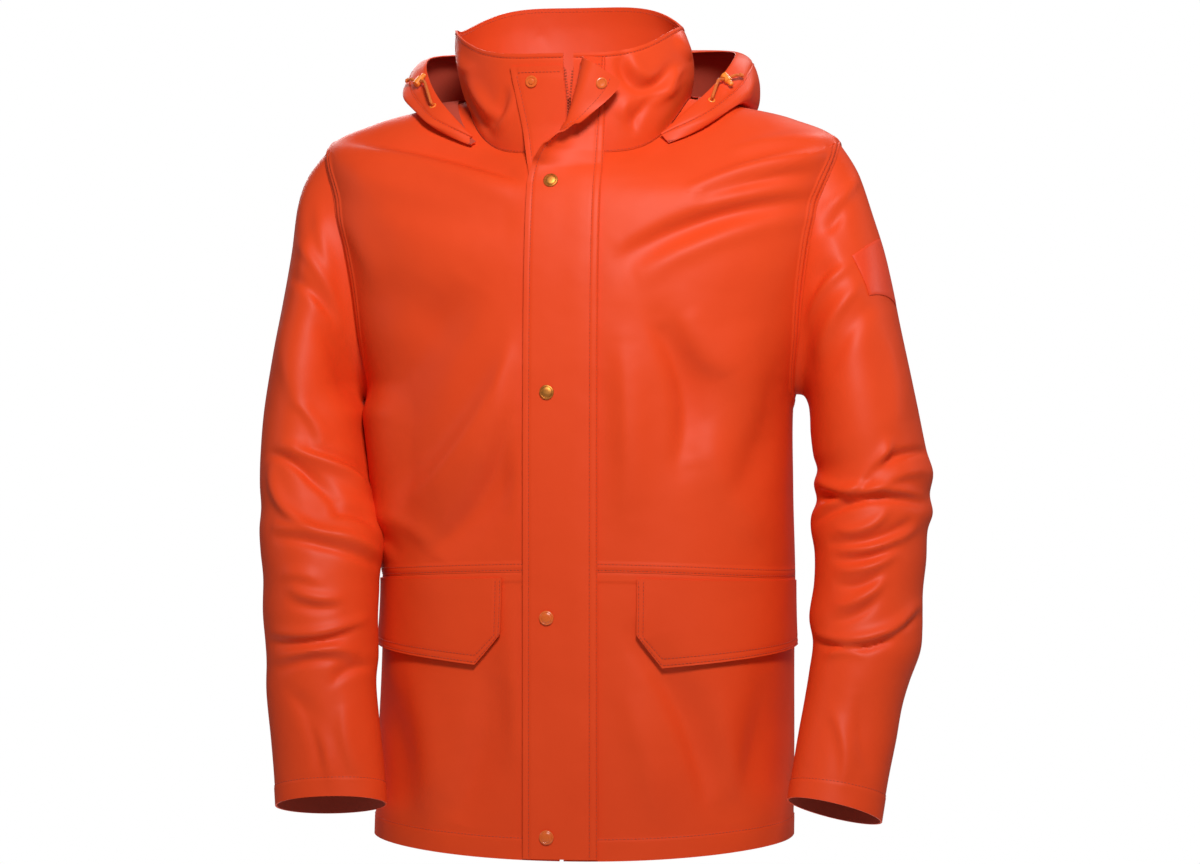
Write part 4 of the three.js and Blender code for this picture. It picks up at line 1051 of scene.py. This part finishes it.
woven_tape, tape_shader = new_material("woven_polyester_tape")
tape_at = add_node(woven_tape, "ShaderNodeTexCoord").outputs["Object"]
TWILL = 1.2e-3
twill = add_node(woven_tape, "ShaderNodeTexWave", {"bands_direction": "DIAGONAL"}, Vector=tape_at,
                 Scale=1 / TWILL / 6.28, Distortion=0.4)
tape_colour = add_node(woven_tape, "ShaderNodeMix", {"data_type": "RGBA"}, _0=twill.outputs["Fac"],
                       _6=linear("#a8341a"), _7=linear("#c8482a"))
tape_bump = add_node(woven_tape, "ShaderNodeBump", Height=twill.outputs["Fac"], Strength=0.5, Distance=0.0003)
woven_tape.node_tree.links.new(tape_colour.outputs["Result"], tape_shader.inputs["Base Color"])
woven_tape.node_tree.links.new(tape_bump.outputs["Normal"], tape_shader.inputs["Normal"])
tape_shader.inputs["Roughness"].default_value = 0.8

acetal_teeth, teeth_shader = new_material("moulded_acetal_teeth")
teeth_shader.inputs["Base Color"].default_value = linear("#b5401f")
teeth_shader.inputs["Roughness"].default_value = 0.35

TOOTH_PITCH = 2.8
for side, hand in ((-1, "right"), (1, "left")):
    across, up = sheet_grid(np.linspace(0, 1, 9), np.linspace(ZIP_FOOT, ZIP_TOP, 260))
    x = side * (neck_vee(up) - 0.5 + across * TAPE_WIDTH)
    cord_edge = 0.3 * near_edge(across, 0.06, 0.08)
    outer = strip_point(front_face, x, up, -3.1 + cord_edge)
    tape = shell(f"zip_tape_sheet_{hand}", outer, strip_point(front_face, x, up, -4.0 - cord_edge))
    tape.data.materials[0] = tape.data.materials[1] = woven_tape
    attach(tape, "root")
    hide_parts(f"zip_tape_{hand}")

    bpy.ops.object.select_all(action="DESELECT")
    bpy.ops.mesh.primitive_cube_add(size=1)
    tooth = bpy.context.object
    tooth.scale = (2.6, 1.9, 1.5)
    bpy.ops.object.transform_apply(location=False, rotation=False, scale=True)
    bevel = tooth.modifiers.new("rounded", "BEVEL")
    bevel.width = 0.3
    bevel.segments = 1
    bpy.ops.object.modifier_apply(modifier=bevel.name)
    form = np.array([v.co[:] for v in tooth.data.vertices])
    shapes = [list(p.vertices) for p in tooth.data.polygons]
    bpy.data.objects.remove(tooth)
    heights = np.arange(ZIP_FOOT + 4 + (side > 0) * TOOTH_PITCH / 2, ZIP_TOP - 3, TOOTH_PITCH)
    places = strip_point(front_face, side * (neck_vee(heights) - 0.9), heights, -3.4)
    points = (places[:, None, :] + form[None]).reshape(-1, 3)
    faces = [[i + k * len(form) for i in shape] for k in range(len(heights)) for shape in shapes]
    mesh = bpy.data.meshes.new(f"zip_teeth_{hand}")
    mesh.from_pydata(placed(points).tolist(), [], faces)
    mesh.materials.append(acetal_teeth)
    teeth = bpy.data.objects.new(mesh.name, mesh)
    bpy.context.scene.collection.objects.link(teeth)
    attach(teeth, "root")

# Under placket: a doubled strip on the wearer's right front. It carries the studs, and its
# outer edge and top are turned in and topstitched.
STRIP_CLOTH = 1.4
PLACKET_OFF = 0.8 + STRIP_CLOTH
PLACKET = table("up outer", [2, 33], [600, 33], [652, 35], [680, 41], [706, 45], [767, 58])
WAVE = (-9, -4.5, 0, 4.5, 9)


def at_height(column, heights, up):
    """A column's value at a height, eased over the corners between its rows."""
    return np.mean([np.interp(up + d, heights, column) for d in WAVE], 0)


def placket_point(share, up, off):
    x = -mix(neck_vee(up) + 0.6, at_height(PLACKET["outer"], PLACKET["up"], up), share)
    return strip_point(bridged_face, x, up, PLACKET_OFF + off)


across, up = sheet_grid(np.linspace(0, 1, 29), np.linspace(2, 767, 230))
from_edge = (1 - across) * at_height(PLACKET["outer"], PLACKET["up"], up)
from_top = 767 - up
edge_roll = -0.5 * near_edge(from_edge, 6, 1.1) - 0.5 * near_edge(from_top, 6, 1.5)
placket_outer = placket_point(across, up, edge_roll)
under_placket = shell("cloth_under_placket", placket_outer,
                      placket_point(across, up, np.full_like(up, -STRIP_CLOTH)))
under_placket.data.materials[1] = coated_cloth
down_edge = np.linspace(5, 760, 300)
inset = 1 - 6 / at_height(PLACKET["outer"], PLACKET["up"], down_edge)
top_edge = np.linspace(0.05, 0.88, 20)
placket_lines = [lying_on(placket_point, inset, down_edge), lying_on(placket_point, top_edge, 761 + 0 * top_edge)]
sew_in(under_placket, "under_placket", [topstitch("stitches_placket", placket_lines)])

# Storm flap: a doubled strip sewn along the wearer's left with two rows of stitches. It closes
# over the zip with snaps, and its free corner at the collar is turned back on itself.
FLAP_SEAM_X = 35
FLAP_OFF = PLACKET_OFF + SEAM_GAP + STRIP_CLOTH
FLAP = table(
    "up x1 lift1 x2 lift2 x3 lift3 x4 lift4 drop3 drop4",
    [2, 17, 0, -1, 0, -19, 0, -37, 0, 0, 0],
    [630, 17, 0, -1, 0, -19, 0, -37, 0, 0, 0],
    [660, 17, 0, -1, 0, -19, 0, -37, 0, 0, 0],
    [678, 17, 0, 0, 3, -15, 10, -22, 22, 0, 0],
    [700, 18, 0, 5, 5, -4, 15, 2, 26, 0, 2],
    [728, 22, 0, 6, 4, 7, 15, 28, 17, 2, 4],
    [752, 25, 0, 11, 5, 17, 16, 41, 14, 4, 14],
    [775, 28, 0, 15, 5, 23, 16, 46, 12, 7, 26],
)


def flap_shape(across, up):
    value = {name: at_height(column, FLAP["up"], up) for name, column in FLAP.items()}
    nothing = 0 * value["x1"]
    x = np.stack([nothing + FLAP_SEAM_X, value["x1"], value["x2"], value["x3"], value["x4"]])
    lift = np.stack([nothing + PLACKET_OFF - FLAP_OFF, value["lift1"], value["lift2"], value["lift3"],
                     value["lift4"]])
    drop = np.stack([nothing, nothing, nothing, value["drop3"], value["drop4"]])
    p = strip_point(bridged_face, blended(x, across), up, FLAP_OFF + blended(lift, across))
    p[..., 2] -= blended(drop, across)
    return p


def flap_point(across, up, off):
    return flap_shape(across, up) - normal_of(flap_shape, across, up, 0.3) * off[..., None]


across, up = sheet_grid(np.linspace(0, 4, 73), np.concatenate([np.linspace(2, 640, 120), np.linspace(642, 775, 80)]))
from_seam = across * 18
ridges = (0.5 * (1 - smooth(from_seam, 8, 10)) - 0.6 * near_edge(from_seam, 2, 1) - 0.6 * near_edge(from_seam, 9, 1)
          - 0.5 * near_edge((4 - across) * 18, 7, 1.1))
flap_outer = flap_point(across, up, ridges)
storm_flap = shell("cloth_storm_flap", flap_outer, flap_point(across, up, np.full_like(up, -STRIP_CLOTH)))
storm_flap.data.materials[1] = coated_cloth
flap_up = np.linspace(4, 773, 320)
flap_across = np.linspace(0.15, 3.6, 40)
flap_lines = [lying_on(flap_point, column + 0 * flap_up, flap_up) for column in (2 / 18, 9 / 18, 4 - 7 / 18)]
flap_lines += [lying_on(flap_point, flap_across, 768 + 0 * flap_across)]
back_on, back_above = lying_on(flap_point, (4 - 7 / 18) + 0 * flap_up, flap_up, off=-STRIP_CLOTH - 0.1)
flap_lines += [(back_on, 2 * back_on - back_above)]
sew_in(storm_flap, "storm_flap", [topstitch("stitches_storm_flap", flap_lines)])

# Pocket flaps: doubled, hung from the waist seam over the pocket mouths, with the corner towards
# the front cut off and a double row of stitches round the three free edges.
POCKETS = {"right": (-1, 273, 217, 187, 204), "left": (1, 273, 217, 185, 202)}
POCKET_START, POCKET_CUT, POCKET_END = 0.275, 0.375, 0.96
POCKET_SLOPE, POCKET_LIFT = 8, 2.5
FLAP_CLOTH = 2.0


def body_row(turn, up):
    low, high = np.full_like(turn, -0.5), np.full_like(turn, NECK_ROW)
    for _ in range(26):
        middle = (low + high) / 2
        below = plain_body(turn, middle)[..., 2] < up
        low, high = np.where(below, middle, low), np.where(below, high, middle)
    return low


def pocket_point(pocket, column, down, off):
    side, top, straight, low, outer_low = pocket
    cut_share = np.clip((column - POCKET_START) / (POCKET_CUT - POCKET_START), 0, 1)
    past = np.clip((column - POCKET_CUT) / (POCKET_END - POCKET_CUT), 0, 1)
    foot = np.where(column < POCKET_CUT, mix(straight, low, cut_share), mix(low, outer_low, past))
    turn = side * mix(math.radians(1.5), math.pi / 2, column)
    up = mix(top - POCKET_SLOPE * column, foot, down)
    lift = 2 * SEAM_GAP + FLAP_CLOTH + POCKET_LIFT * down ** 2
    return body_point(turn, body_row(turn, up), lift + off)


for hand, pocket in POCKETS.items():
    across = np.concatenate([rows_between(POCKET_START, POCKET_CUT, 16), rows_between(POCKET_CUT, POCKET_END, 64)[1:]])
    column, down = sheet_grid(across, np.linspace(0, 1, 41))
    tall = pocket[1] - pocket[3]
    from_foot = (1 - down) * tall * 0.9
    from_side = (column - POCKET_START) * 330
    from_free = np.minimum(from_foot, from_side)
    stitched = -0.5 * near_edge(from_free, 2.5, 1.1) - 0.5 * near_edge(from_free, 8.5, 1.1)
    outer = pocket_point(pocket, column, down, stitched)
    piece = shell(f"cloth_pocket_flap_{hand}", outer, pocket_point(pocket, column, down, -FLAP_CLOTH + 0 * down))
    piece.data.materials[1] = coated_cloth
    lines = []
    for inset in (2.5, 8.5):
        corner_column, foot_down = POCKET_START + inset / 330, 1 - inset / (tall * 0.9)
        side_down = np.linspace(0.03, foot_down, 40)
        foot_columns = np.linspace(corner_column, POCKET_END - 0.005, 120)
        column = np.concatenate([corner_column + 0 * side_down, foot_columns[1:]])
        down_at = np.concatenate([side_down, foot_down + 0 * foot_columns[1:]])
        lines.append(lying_on(lambda c, d, off: pocket_point(pocket, c, d, off), column, down_at))
    sew_in(piece, f"pocket_flap_{hand}", [topstitch(f"stitches_pocket_flap_{hand}", lines)])

# Patch: a bare patch of thin polyurethane film, welded to the outer side of the left sleeve.
# The film is smoother than the coat and dyed a little brighter.
welded_film, film = new_material("welded_polyurethane_film")
film_at = add_node(welded_film, "ShaderNodeTexCoord").outputs["Object"]
film_press = add_node(welded_film, "ShaderNodeTexNoise", Vector=film_at, Scale=240.0, Detail=2.0)
film_tone = add_node(welded_film, "ShaderNodeMix", {"data_type": "RGBA"}, _0=film_press.outputs["Fac"],
                     _6=linear("#ea3f18"), _7=linear("#f24820"))
film_bump = add_node(welded_film, "ShaderNodeBump", Height=film_press.outputs["Fac"], Strength=0.12, Distance=0.0006)
welded_film.node_tree.links.new(film_tone.outputs["Result"], film.inputs["Base Color"])
welded_film.node_tree.links.new(film_bump.outputs["Normal"], film.inputs["Normal"])
film.inputs["Roughness"].default_value = 0.42
PATCH_TURNS, PATCH_ROWS, PATCH_SLANT = (math.radians(134), math.radians(176)), (2.25, 3.35), 0.72
patch_turn, patch_row = sheet_grid(np.linspace(*PATCH_TURNS, 25), np.linspace(*PATCH_ROWS, 33))
rim = np.minimum(np.minimum(patch_turn - PATCH_TURNS[0], PATCH_TURNS[1] - patch_turn) * 80,
                 np.minimum(patch_row - PATCH_ROWS[0], PATCH_ROWS[1] - patch_row) * 60)
patch_at = patch_row + PATCH_SLANT * (patch_turn - np.mean(PATCH_TURNS))
patch_outer = sleeve_point(1, patch_turn, patch_at, 1.1 - 0.5 * (1 - smooth(rim, 0, 2)))
patch = shell("cloth_sleeve_patch", patch_outer, sleeve_point(1, patch_turn, patch_at, np.full_like(patch_at, 0.3)))
patch.data.materials[0] = patch.data.materials[1] = welded_film
sew_in(patch, "sleeve_patch")

# Snaps: four domed brass caps pressed through the storm flap, the two lower ones enamelled to
# match the cloth, and a stud and a socket that close the corner of the collar.
SNAP_ACROSS, SNAP_HEIGHTS = 2.72, (23, 233, 449, 652)
SNAP_RADIUS, SNAP_HEIGHT, STUD_RADIUS = 7, 2.4, 6
STUD_X, STUD_HEIGHT = -36, 752
SOCKET_ACROSS, SOCKET_ROW = 3.45, 759

# The brass was left to darken and then rubbed back: a warm satin metal with browner hollows.
antique_brass, brass = new_material("antique_brass")
brass_at = add_node(antique_brass, "ShaderNodeTexCoord").outputs["Object"]
tarnish = add_node(antique_brass, "ShaderNodeTexNoise", Vector=brass_at, Scale=420.0, Detail=3.0)
hollows = add_node(antique_brass, "ShaderNodeAmbientOcclusion", {"samples": 4}, Distance=0.0012)
rubbed = add_node(antique_brass, "ShaderNodeMix", {"data_type": "RGBA"}, _0=tarnish.outputs["Fac"],
                  _6=linear("#c87a34"), _7=linear("#e39a4c"))
darkened = add_node(antique_brass, "ShaderNodeMix", {"data_type": "RGBA"}, _0=hollows.outputs["AO"],
                    _6=linear("#7a4720"), _7=rubbed.outputs["Result"])
brass_gloss = add_node(antique_brass, "ShaderNodeMapRange", Value=tarnish.outputs["Fac"], To_Min=0.42, To_Max=0.6)
antique_brass.node_tree.links.new(darkened.outputs["Result"], brass.inputs["Base Color"])
antique_brass.node_tree.links.new(brass_gloss.outputs["Result"], brass.inputs["Roughness"])
brass.inputs["Metallic"].default_value = 1.0

# The enamel is baked on and a little thick, so its edges are soft and the brass shows as a tint.
baked_enamel, enamel = new_material("baked_enamel")
enamel_at = add_node(baked_enamel, "ShaderNodeTexCoord").outputs["Object"]
orange_peel = add_node(baked_enamel, "ShaderNodeTexNoise", Vector=enamel_at, Scale=900.0, Detail=1.0)
enamel_tone = add_node(baked_enamel, "ShaderNodeMix", {"data_type": "RGBA"}, _0=orange_peel.outputs["Fac"],
                       _6=linear("#d9571f"), _7=linear("#e8722c"))
enamel_bump = add_node(baked_enamel, "ShaderNodeBump", Height=orange_peel.outputs["Fac"], Strength=0.15,
                       Distance=0.0002)
baked_enamel.node_tree.links.new(enamel_tone.outputs["Result"], enamel.inputs["Base Color"])
baked_enamel.node_tree.links.new(enamel_bump.outputs["Normal"], enamel.inputs["Normal"])
enamel.inputs["Roughness"].default_value = 0.3


def pick_faces(piece, chosen):
    """Leaves a piece in edit mode with only the faces selected that pass a test."""
    bpy.ops.object.mode_set(mode="EDIT")
    bpy.ops.mesh.select_mode(type="FACE")
    bpy.ops.mesh.select_all(action="DESELECT")
    bpy.ops.object.mode_set(mode="OBJECT")
    for face in piece.data.polygons:
        face.select = chosen(face)
    bpy.ops.object.mode_set(mode="EDIT")


def turned_form(name, radius, height, steps):
    """A round form about +Z in millimetres: a disc whose top is set in and raised step by step."""
    bpy.ops.object.select_all(action="DESELECT")
    bpy.ops.mesh.primitive_cylinder_add(vertices=48, radius=radius, depth=height, location=(0, 0, height / 2))
    piece = bpy.context.object
    piece.name = name
    bpy.ops.object.transform_apply()
    pick_faces(piece, lambda face: face.normal.z > 0.9)
    for inset, rise in steps:
        bpy.ops.mesh.inset(thickness=inset, depth=rise)
    bpy.ops.object.mode_set(mode="OBJECT")
    return piece


def fitted(piece, node, slot_name, material, place, out, ahead=None):
    """Finishes a piece made about +Z and moves it to its place, pointing out of the cloth."""
    up = Vector(out).normalized()
    side = Vector(ahead if ahead is not None else (1, 0, 0))
    side = (side - up * side.dot(up)).normalized()
    axes = Matrix([side, up.cross(side), up]).transposed().to_4x4()
    piece.data.transform(Matrix.Translation(placed(place)) @ axes @ Matrix.Scale(0.001, 4))
    piece.data.materials.clear()
    piece.data.materials.append(material)
    soften(piece, 40)
    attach(piece, "root")
    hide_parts(node)
    return piece


CAP_STEPS = ((0.45, 0.5), (0.75, 0.25), (0.5, -0.35), (0.45, 0.35), (1.3, 0.45), (1.5, 0.2))
STUD_STEPS = ((0.4, 0.5), (1.3, 0.1), (0.5, -0.45), (0.7, 0.0), (0.35, 0.7), (0.6, 0.25))
SOCKET_STEPS = ((0.4, 0.4), (1.1, 0.1), (0.4, -0.5), (0.9, 0.0), (0.4, -0.1))
for i, up in enumerate(SNAP_HEIGHTS):
    out = -normal_of(flap_shape, np.array(SNAP_ACROSS), np.array(float(up)), 0.05)
    cap = turned_form(f"flap_cap_{i + 1}", SNAP_RADIUS, 0.9, CAP_STEPS)
    place = flap_shape(np.array(SNAP_ACROSS), np.array(float(up))) + out * SEAM_GAP
    metal = ("painted_snap", baked_enamel) if i < 2 else ("brass_snap", antique_brass)
    fitted(cap, f"flap_snap_{i + 1}", *metal, place, out)
stud_out = strip_normal(bridged_face, np.array(STUD_X), np.array(STUD_HEIGHT))
stud = turned_form("collar_snap_stud", STUD_RADIUS, 0.8, STUD_STEPS)
fitted(stud, "collar_stud", "painted_snap", baked_enamel,
       strip_point(bridged_face, STUD_X, STUD_HEIGHT, PLACKET_OFF + SEAM_GAP), stud_out)
socket_out = normal_of(flap_shape, np.array(SOCKET_ACROSS), np.array(float(SOCKET_ROW)), 0.05)
socket = turned_form("collar_snap_socket", STUD_RADIUS - 0.5, 0.6, SOCKET_STEPS)
fitted(socket, "collar_socket", "painted_snap", baked_enamel,
       flap_shape(np.array(SOCKET_ACROSS), np.array(float(SOCKET_ROW))) + socket_out * (STRIP_CLOTH + SEAM_GAP),
       socket_out)

# Hood cords: a round braid leaves a moulded eyelet on each side of the casing, runs through a
# two-part cord lock with a sprung plunger and ends in a knot. All are dyed bright orange.
CORD_RADIUS, KNOT_RADIUS = 1.5, 3
EYELET_RADIUS, EYELET_HOLE = 3.6, 1.9
LOCK_RADIUS, LOCK_LENGTH = 4.6, 15
HOOD_CORDS = {"right": (-1, 7.45, 0.55, 6.15, 0.5, 30), "left": (1, 7.3, 0.6, 6.35, 0.4, -30)}

# Acetal for the locks is dyed through, so light enters it a little and softens its edges.
dyed_acetal, acetal = new_material("moulded_dyed_acetal")
acetal_at = add_node(dyed_acetal, "ShaderNodeTexCoord").outputs["Object"]
flow = add_node(dyed_acetal, "ShaderNodeTexNoise", Vector=acetal_at, Scale=160.0, Detail=2.0)
acetal_tone = add_node(dyed_acetal, "ShaderNodeMix", {"data_type": "RGBA"}, _0=flow.outputs["Fac"],
                       _6=linear("#f78528"), _7=linear("#ff9a40"))
dyed_acetal.node_tree.links.new(acetal_tone.outputs["Result"], acetal.inputs["Base Color"])
acetal.inputs["Roughness"].default_value = 0.28
acetal.inputs["Subsurface Weight"].default_value = 0.25
acetal.inputs["Subsurface Radius"].default_value = (0.003, 0.0012, 0.0005)

# The cord is a tight polyester braid, with a strand every 0.9 mm along two sets of spirals.
braided_cord, braid = new_material("braided_polyester_cord")
braid_at = add_node(braided_cord, "ShaderNodeUVMap", {"uv_map": "around"}).outputs["UV"]
STRANDS = 8
spirals = []
for lean in (1, -1):
    turned_map = add_node(braided_cord, "ShaderNodeMapping", Vector=braid_at, Rotation=(0, 0, lean * math.pi / 4))
    spirals.append(add_node(braided_cord, "ShaderNodeTexWave", Vector=turned_map.outputs["Vector"],
                            Scale=STRANDS * math.sqrt(2) / 6.28 / 2))
weave = add_node(braided_cord, "ShaderNodeMath", {"operation": "MULTIPLY"}, _0=spirals[0].outputs["Fac"],
                 _1=spirals[1].outputs["Fac"])
cord_colour = add_node(braided_cord, "ShaderNodeMix", {"data_type": "RGBA"}, _0=weave.outputs["Value"],
                       _6=linear("#e4651f"), _7=linear("#ff9642"))
cord_bump = add_node(braided_cord, "ShaderNodeBump", Height=weave.outputs["Value"], Strength=0.8, Distance=0.0003)
braided_cord.node_tree.links.new(cord_colour.outputs["Result"], braid.inputs["Base Color"])
braided_cord.node_tree.links.new(cord_bump.outputs["Normal"], braid.inputs["Normal"])
braid.inputs["Roughness"].default_value = 0.7


def centred_curve(points, steps):
    """A smooth curve through points, with its speed eased by their distances."""
    points = np.concatenate([[2 * points[0] - points[1]], points, [2 * points[-1] - points[-2]]])
    out = []
    for a, b, c, d in zip(points, points[1:], points[2:], points[3:]):
        ab, bc, cd = (np.linalg.norm(q - p) ** 0.5 for p, q in ((a, b), (b, c), (c, d)))
        start = ((b - a) / ab - (c - a) / (ab + bc) + (c - b) / bc) * bc
        end = ((c - b) / bc - (d - b) / (bc + cd) + (d - c) / cd) * bc
        for s in np.linspace(0, 1, steps + 1)[:-1]:
            out.append(b + start * s + (3 * (c - b) - 2 * start - end) * s ** 2
                       + (2 * (b - c) + start + end) * s ** 3)
    return np.array(out + [points[-2]])


def braided_tube(name, line, radius, sides=14, closed=False):
    """A round tube along a line in millimetres, with a UV map that runs round and along it."""
    count = len(line)
    ahead = unit(np.roll(line, -1, 0) - np.roll(line, 1, 0)) if closed else unit(np.gradient(line, axis=0))
    beside = [np.cross(ahead[0], [0.3, 0.5, 0.8])]
    for direction in ahead[1:]:
        beside.append(beside[-1] - direction * beside[-1].dot(direction))
    beside = unit(np.array(beside))
    over = np.cross(ahead, beside)
    turn = np.linspace(0, 2 * math.pi, sides + 1)[:-1]
    ring = line[:, None] + radius * (beside[:, None] * np.cos(turn)[:, None] + over[:, None] * np.sin(turn)[:, None])
    along = np.arange(count if closed else count - 1)
    faces, corners = [], []
    run = np.concatenate([[0], np.cumsum(np.linalg.norm(np.diff(line, axis=0), axis=1)), [0]])
    for i in along:
        j = (i + 1) % count
        length_after = run[i + 1] if j else run[i] + np.linalg.norm(line[0] - line[i])
        for k in range(sides):
            m = (k + 1) % sides
            faces.append([i * sides + k, i * sides + m, j * sides + m, j * sides + k])
            lengths = [run[i] / radius, run[i] / radius, length_after / radius, length_after / radius]
            corners += list(zip([turn[k], turn[k] + turn[1], turn[k] + turn[1], turn[k]], lengths))
    if not closed:
        faces += [list(range(sides))[::-1], [(count - 1) * sides + k for k in range(sides)]]
        corners += [(0, 0)] * (2 * sides)
    mesh = bpy.data.meshes.new(name)
    mesh.from_pydata(placed(ring.reshape(-1, 3)).tolist(), [], faces)
    layer = mesh.uv_layers.new(name="around")
    layer.data.foreach_set("uv", np.array(corners, float).ravel())
    mesh.materials.append(braided_cord)
    tube = bpy.data.objects.new(name, mesh)
    bpy.context.scene.collection.objects.link(tube)
    soften(tube, 60)
    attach(tube, "root")
    return tube


for hand, (side, eyelet_place, eyelet_across, lock_place, lock_across, tilt) in HOOD_CORDS.items():
    def on_casing(place, across, off):
        return hood_point(np.array(float(across)), np.array(side * float(place)), off)

    eyelet_at = on_casing(eyelet_place, eyelet_across, SEAM_GAP)
    eyelet_out = unit(on_casing(eyelet_place, eyelet_across, 1.0) - on_casing(eyelet_place, eyelet_across, 0.0))
    lock_out = unit(on_casing(lock_place, lock_across, 1.0) - on_casing(lock_place, lock_across, 0.0))
    middle = on_casing(lock_place, lock_across, LOCK_RADIUS + 1.4)
    along = eyelet_at - middle
    along = unit(along - lock_out * along.dot(lock_out))
    barrel_way = Vector(unit(np.cross(lock_out, along)))
    barrel_way.rotate(Matrix.Rotation(math.radians(tilt), 3, Vector(lock_out)))
    barrel_way = np.array(barrel_way)
    through = unit(along - barrel_way * along.dot(barrel_way))

    eyelet = turned_form(f"casing_eyelet_{hand}", EYELET_RADIUS, 0.5, ((0.35, 0.45), (0.7, 0.2)))
    pick_faces(eyelet, lambda face: face.normal.z < -0.9 and len(face.vertices) > 8)
    bpy.ops.mesh.inset(thickness=EYELET_RADIUS - EYELET_HOLE)
    pick_faces(eyelet, lambda face: len(face.vertices) > 8 and abs(face.normal.z) > 0.9)
    bpy.ops.mesh.delete(type="FACE")
    bpy.ops.mesh.select_all(action="DESELECT")
    bpy.ops.mesh.select_mode(type="EDGE")
    bpy.ops.mesh.select_non_manifold()
    bpy.ops.mesh.bridge_edge_loops()
    bpy.ops.mesh.select_all(action="SELECT")
    bpy.ops.mesh.normals_make_consistent(inside=False)
    bpy.ops.object.mode_set(mode="OBJECT")
    fitted(eyelet, f"eyelet_{hand}", "moulded_plastic", dyed_acetal, eyelet_at, eyelet_out)

    barrel = turned_form(f"lock_body_{hand}", LOCK_RADIUS * 0.82, 0.01, (
        (-(LOCK_RADIUS * 0.18), 0.9), (0.0001, 8.0), (0.5, 0.4), (0.8, 0.0), (0.0001, 1.8), (-0.75, 0.3),
        (0.0001, 2.4), (0.6, 0.8), (1.3, 0.35)))
    hole = turned_form("lock_hole", CORD_RADIUS + 0.5, 4 * LOCK_RADIUS, ())
    hole.data.transform(Matrix.Translation((0, 0, -2 * LOCK_RADIUS)))
    hole.data.transform(Matrix.Rotation(math.pi / 2, 4, "Y"))
    hole.data.transform(Matrix.Translation((0, 0, LOCK_LENGTH * 0.32)))
    bore = barrel.modifiers.new("bore", "BOOLEAN")
    bore.object = hole
    bore.solver = "EXACT"
    bpy.ops.object.select_all(action="DESELECT")
    barrel.select_set(True)
    bpy.context.view_layer.objects.active = barrel
    bpy.ops.object.modifier_apply(modifier=bore.name)
    bpy.data.objects.remove(hole)
    fitted(barrel, f"cord_lock_{hand}", "moulded_plastic", dyed_acetal,
           middle - barrel_way * LOCK_LENGTH * 0.32, barrel_way, through)

    leaves = eyelet_at + eyelet_out * 1.6
    route = centred_curve(np.array([
        leaves,
        leaves + eyelet_out * 4,
        middle + through * (LOCK_RADIUS + 5) + lock_out * 1.5,
        middle + through * (LOCK_RADIUS + 0.5),
        middle - through * (LOCK_RADIUS + 0.5),
        middle - through * (LOCK_RADIUS + 6) + lock_out,
        middle - through * (LOCK_RADIUS + 12) - lock_out * 0.5]), 6)
    cord_tube = braided_tube(f"braid_{hand}", route, CORD_RADIUS)
    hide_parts(f"hood_cord_{hand}")

    onwards = unit(route[-1] - route[-2])
    t = np.linspace(0, 2 * math.pi, 73)[:-1]
    loop = np.stack([np.sin(t) + 2 * np.sin(2 * t), np.cos(t) - 2 * np.cos(2 * t), -np.sin(3 * t)], -1) * 0.62
    across_knot = unit(np.cross(onwards, lock_out))
    loop = loop @ np.stack([onwards, across_knot, np.cross(onwards, across_knot)])
    knot = braided_tube(f"knot_{hand}", route[-1] + onwards * (KNOT_RADIUS + 0.2) + loop, 1.15, 12, closed=True)
    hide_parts(f"cord_knot_{hand}")

bpy.context.view_layer.update()
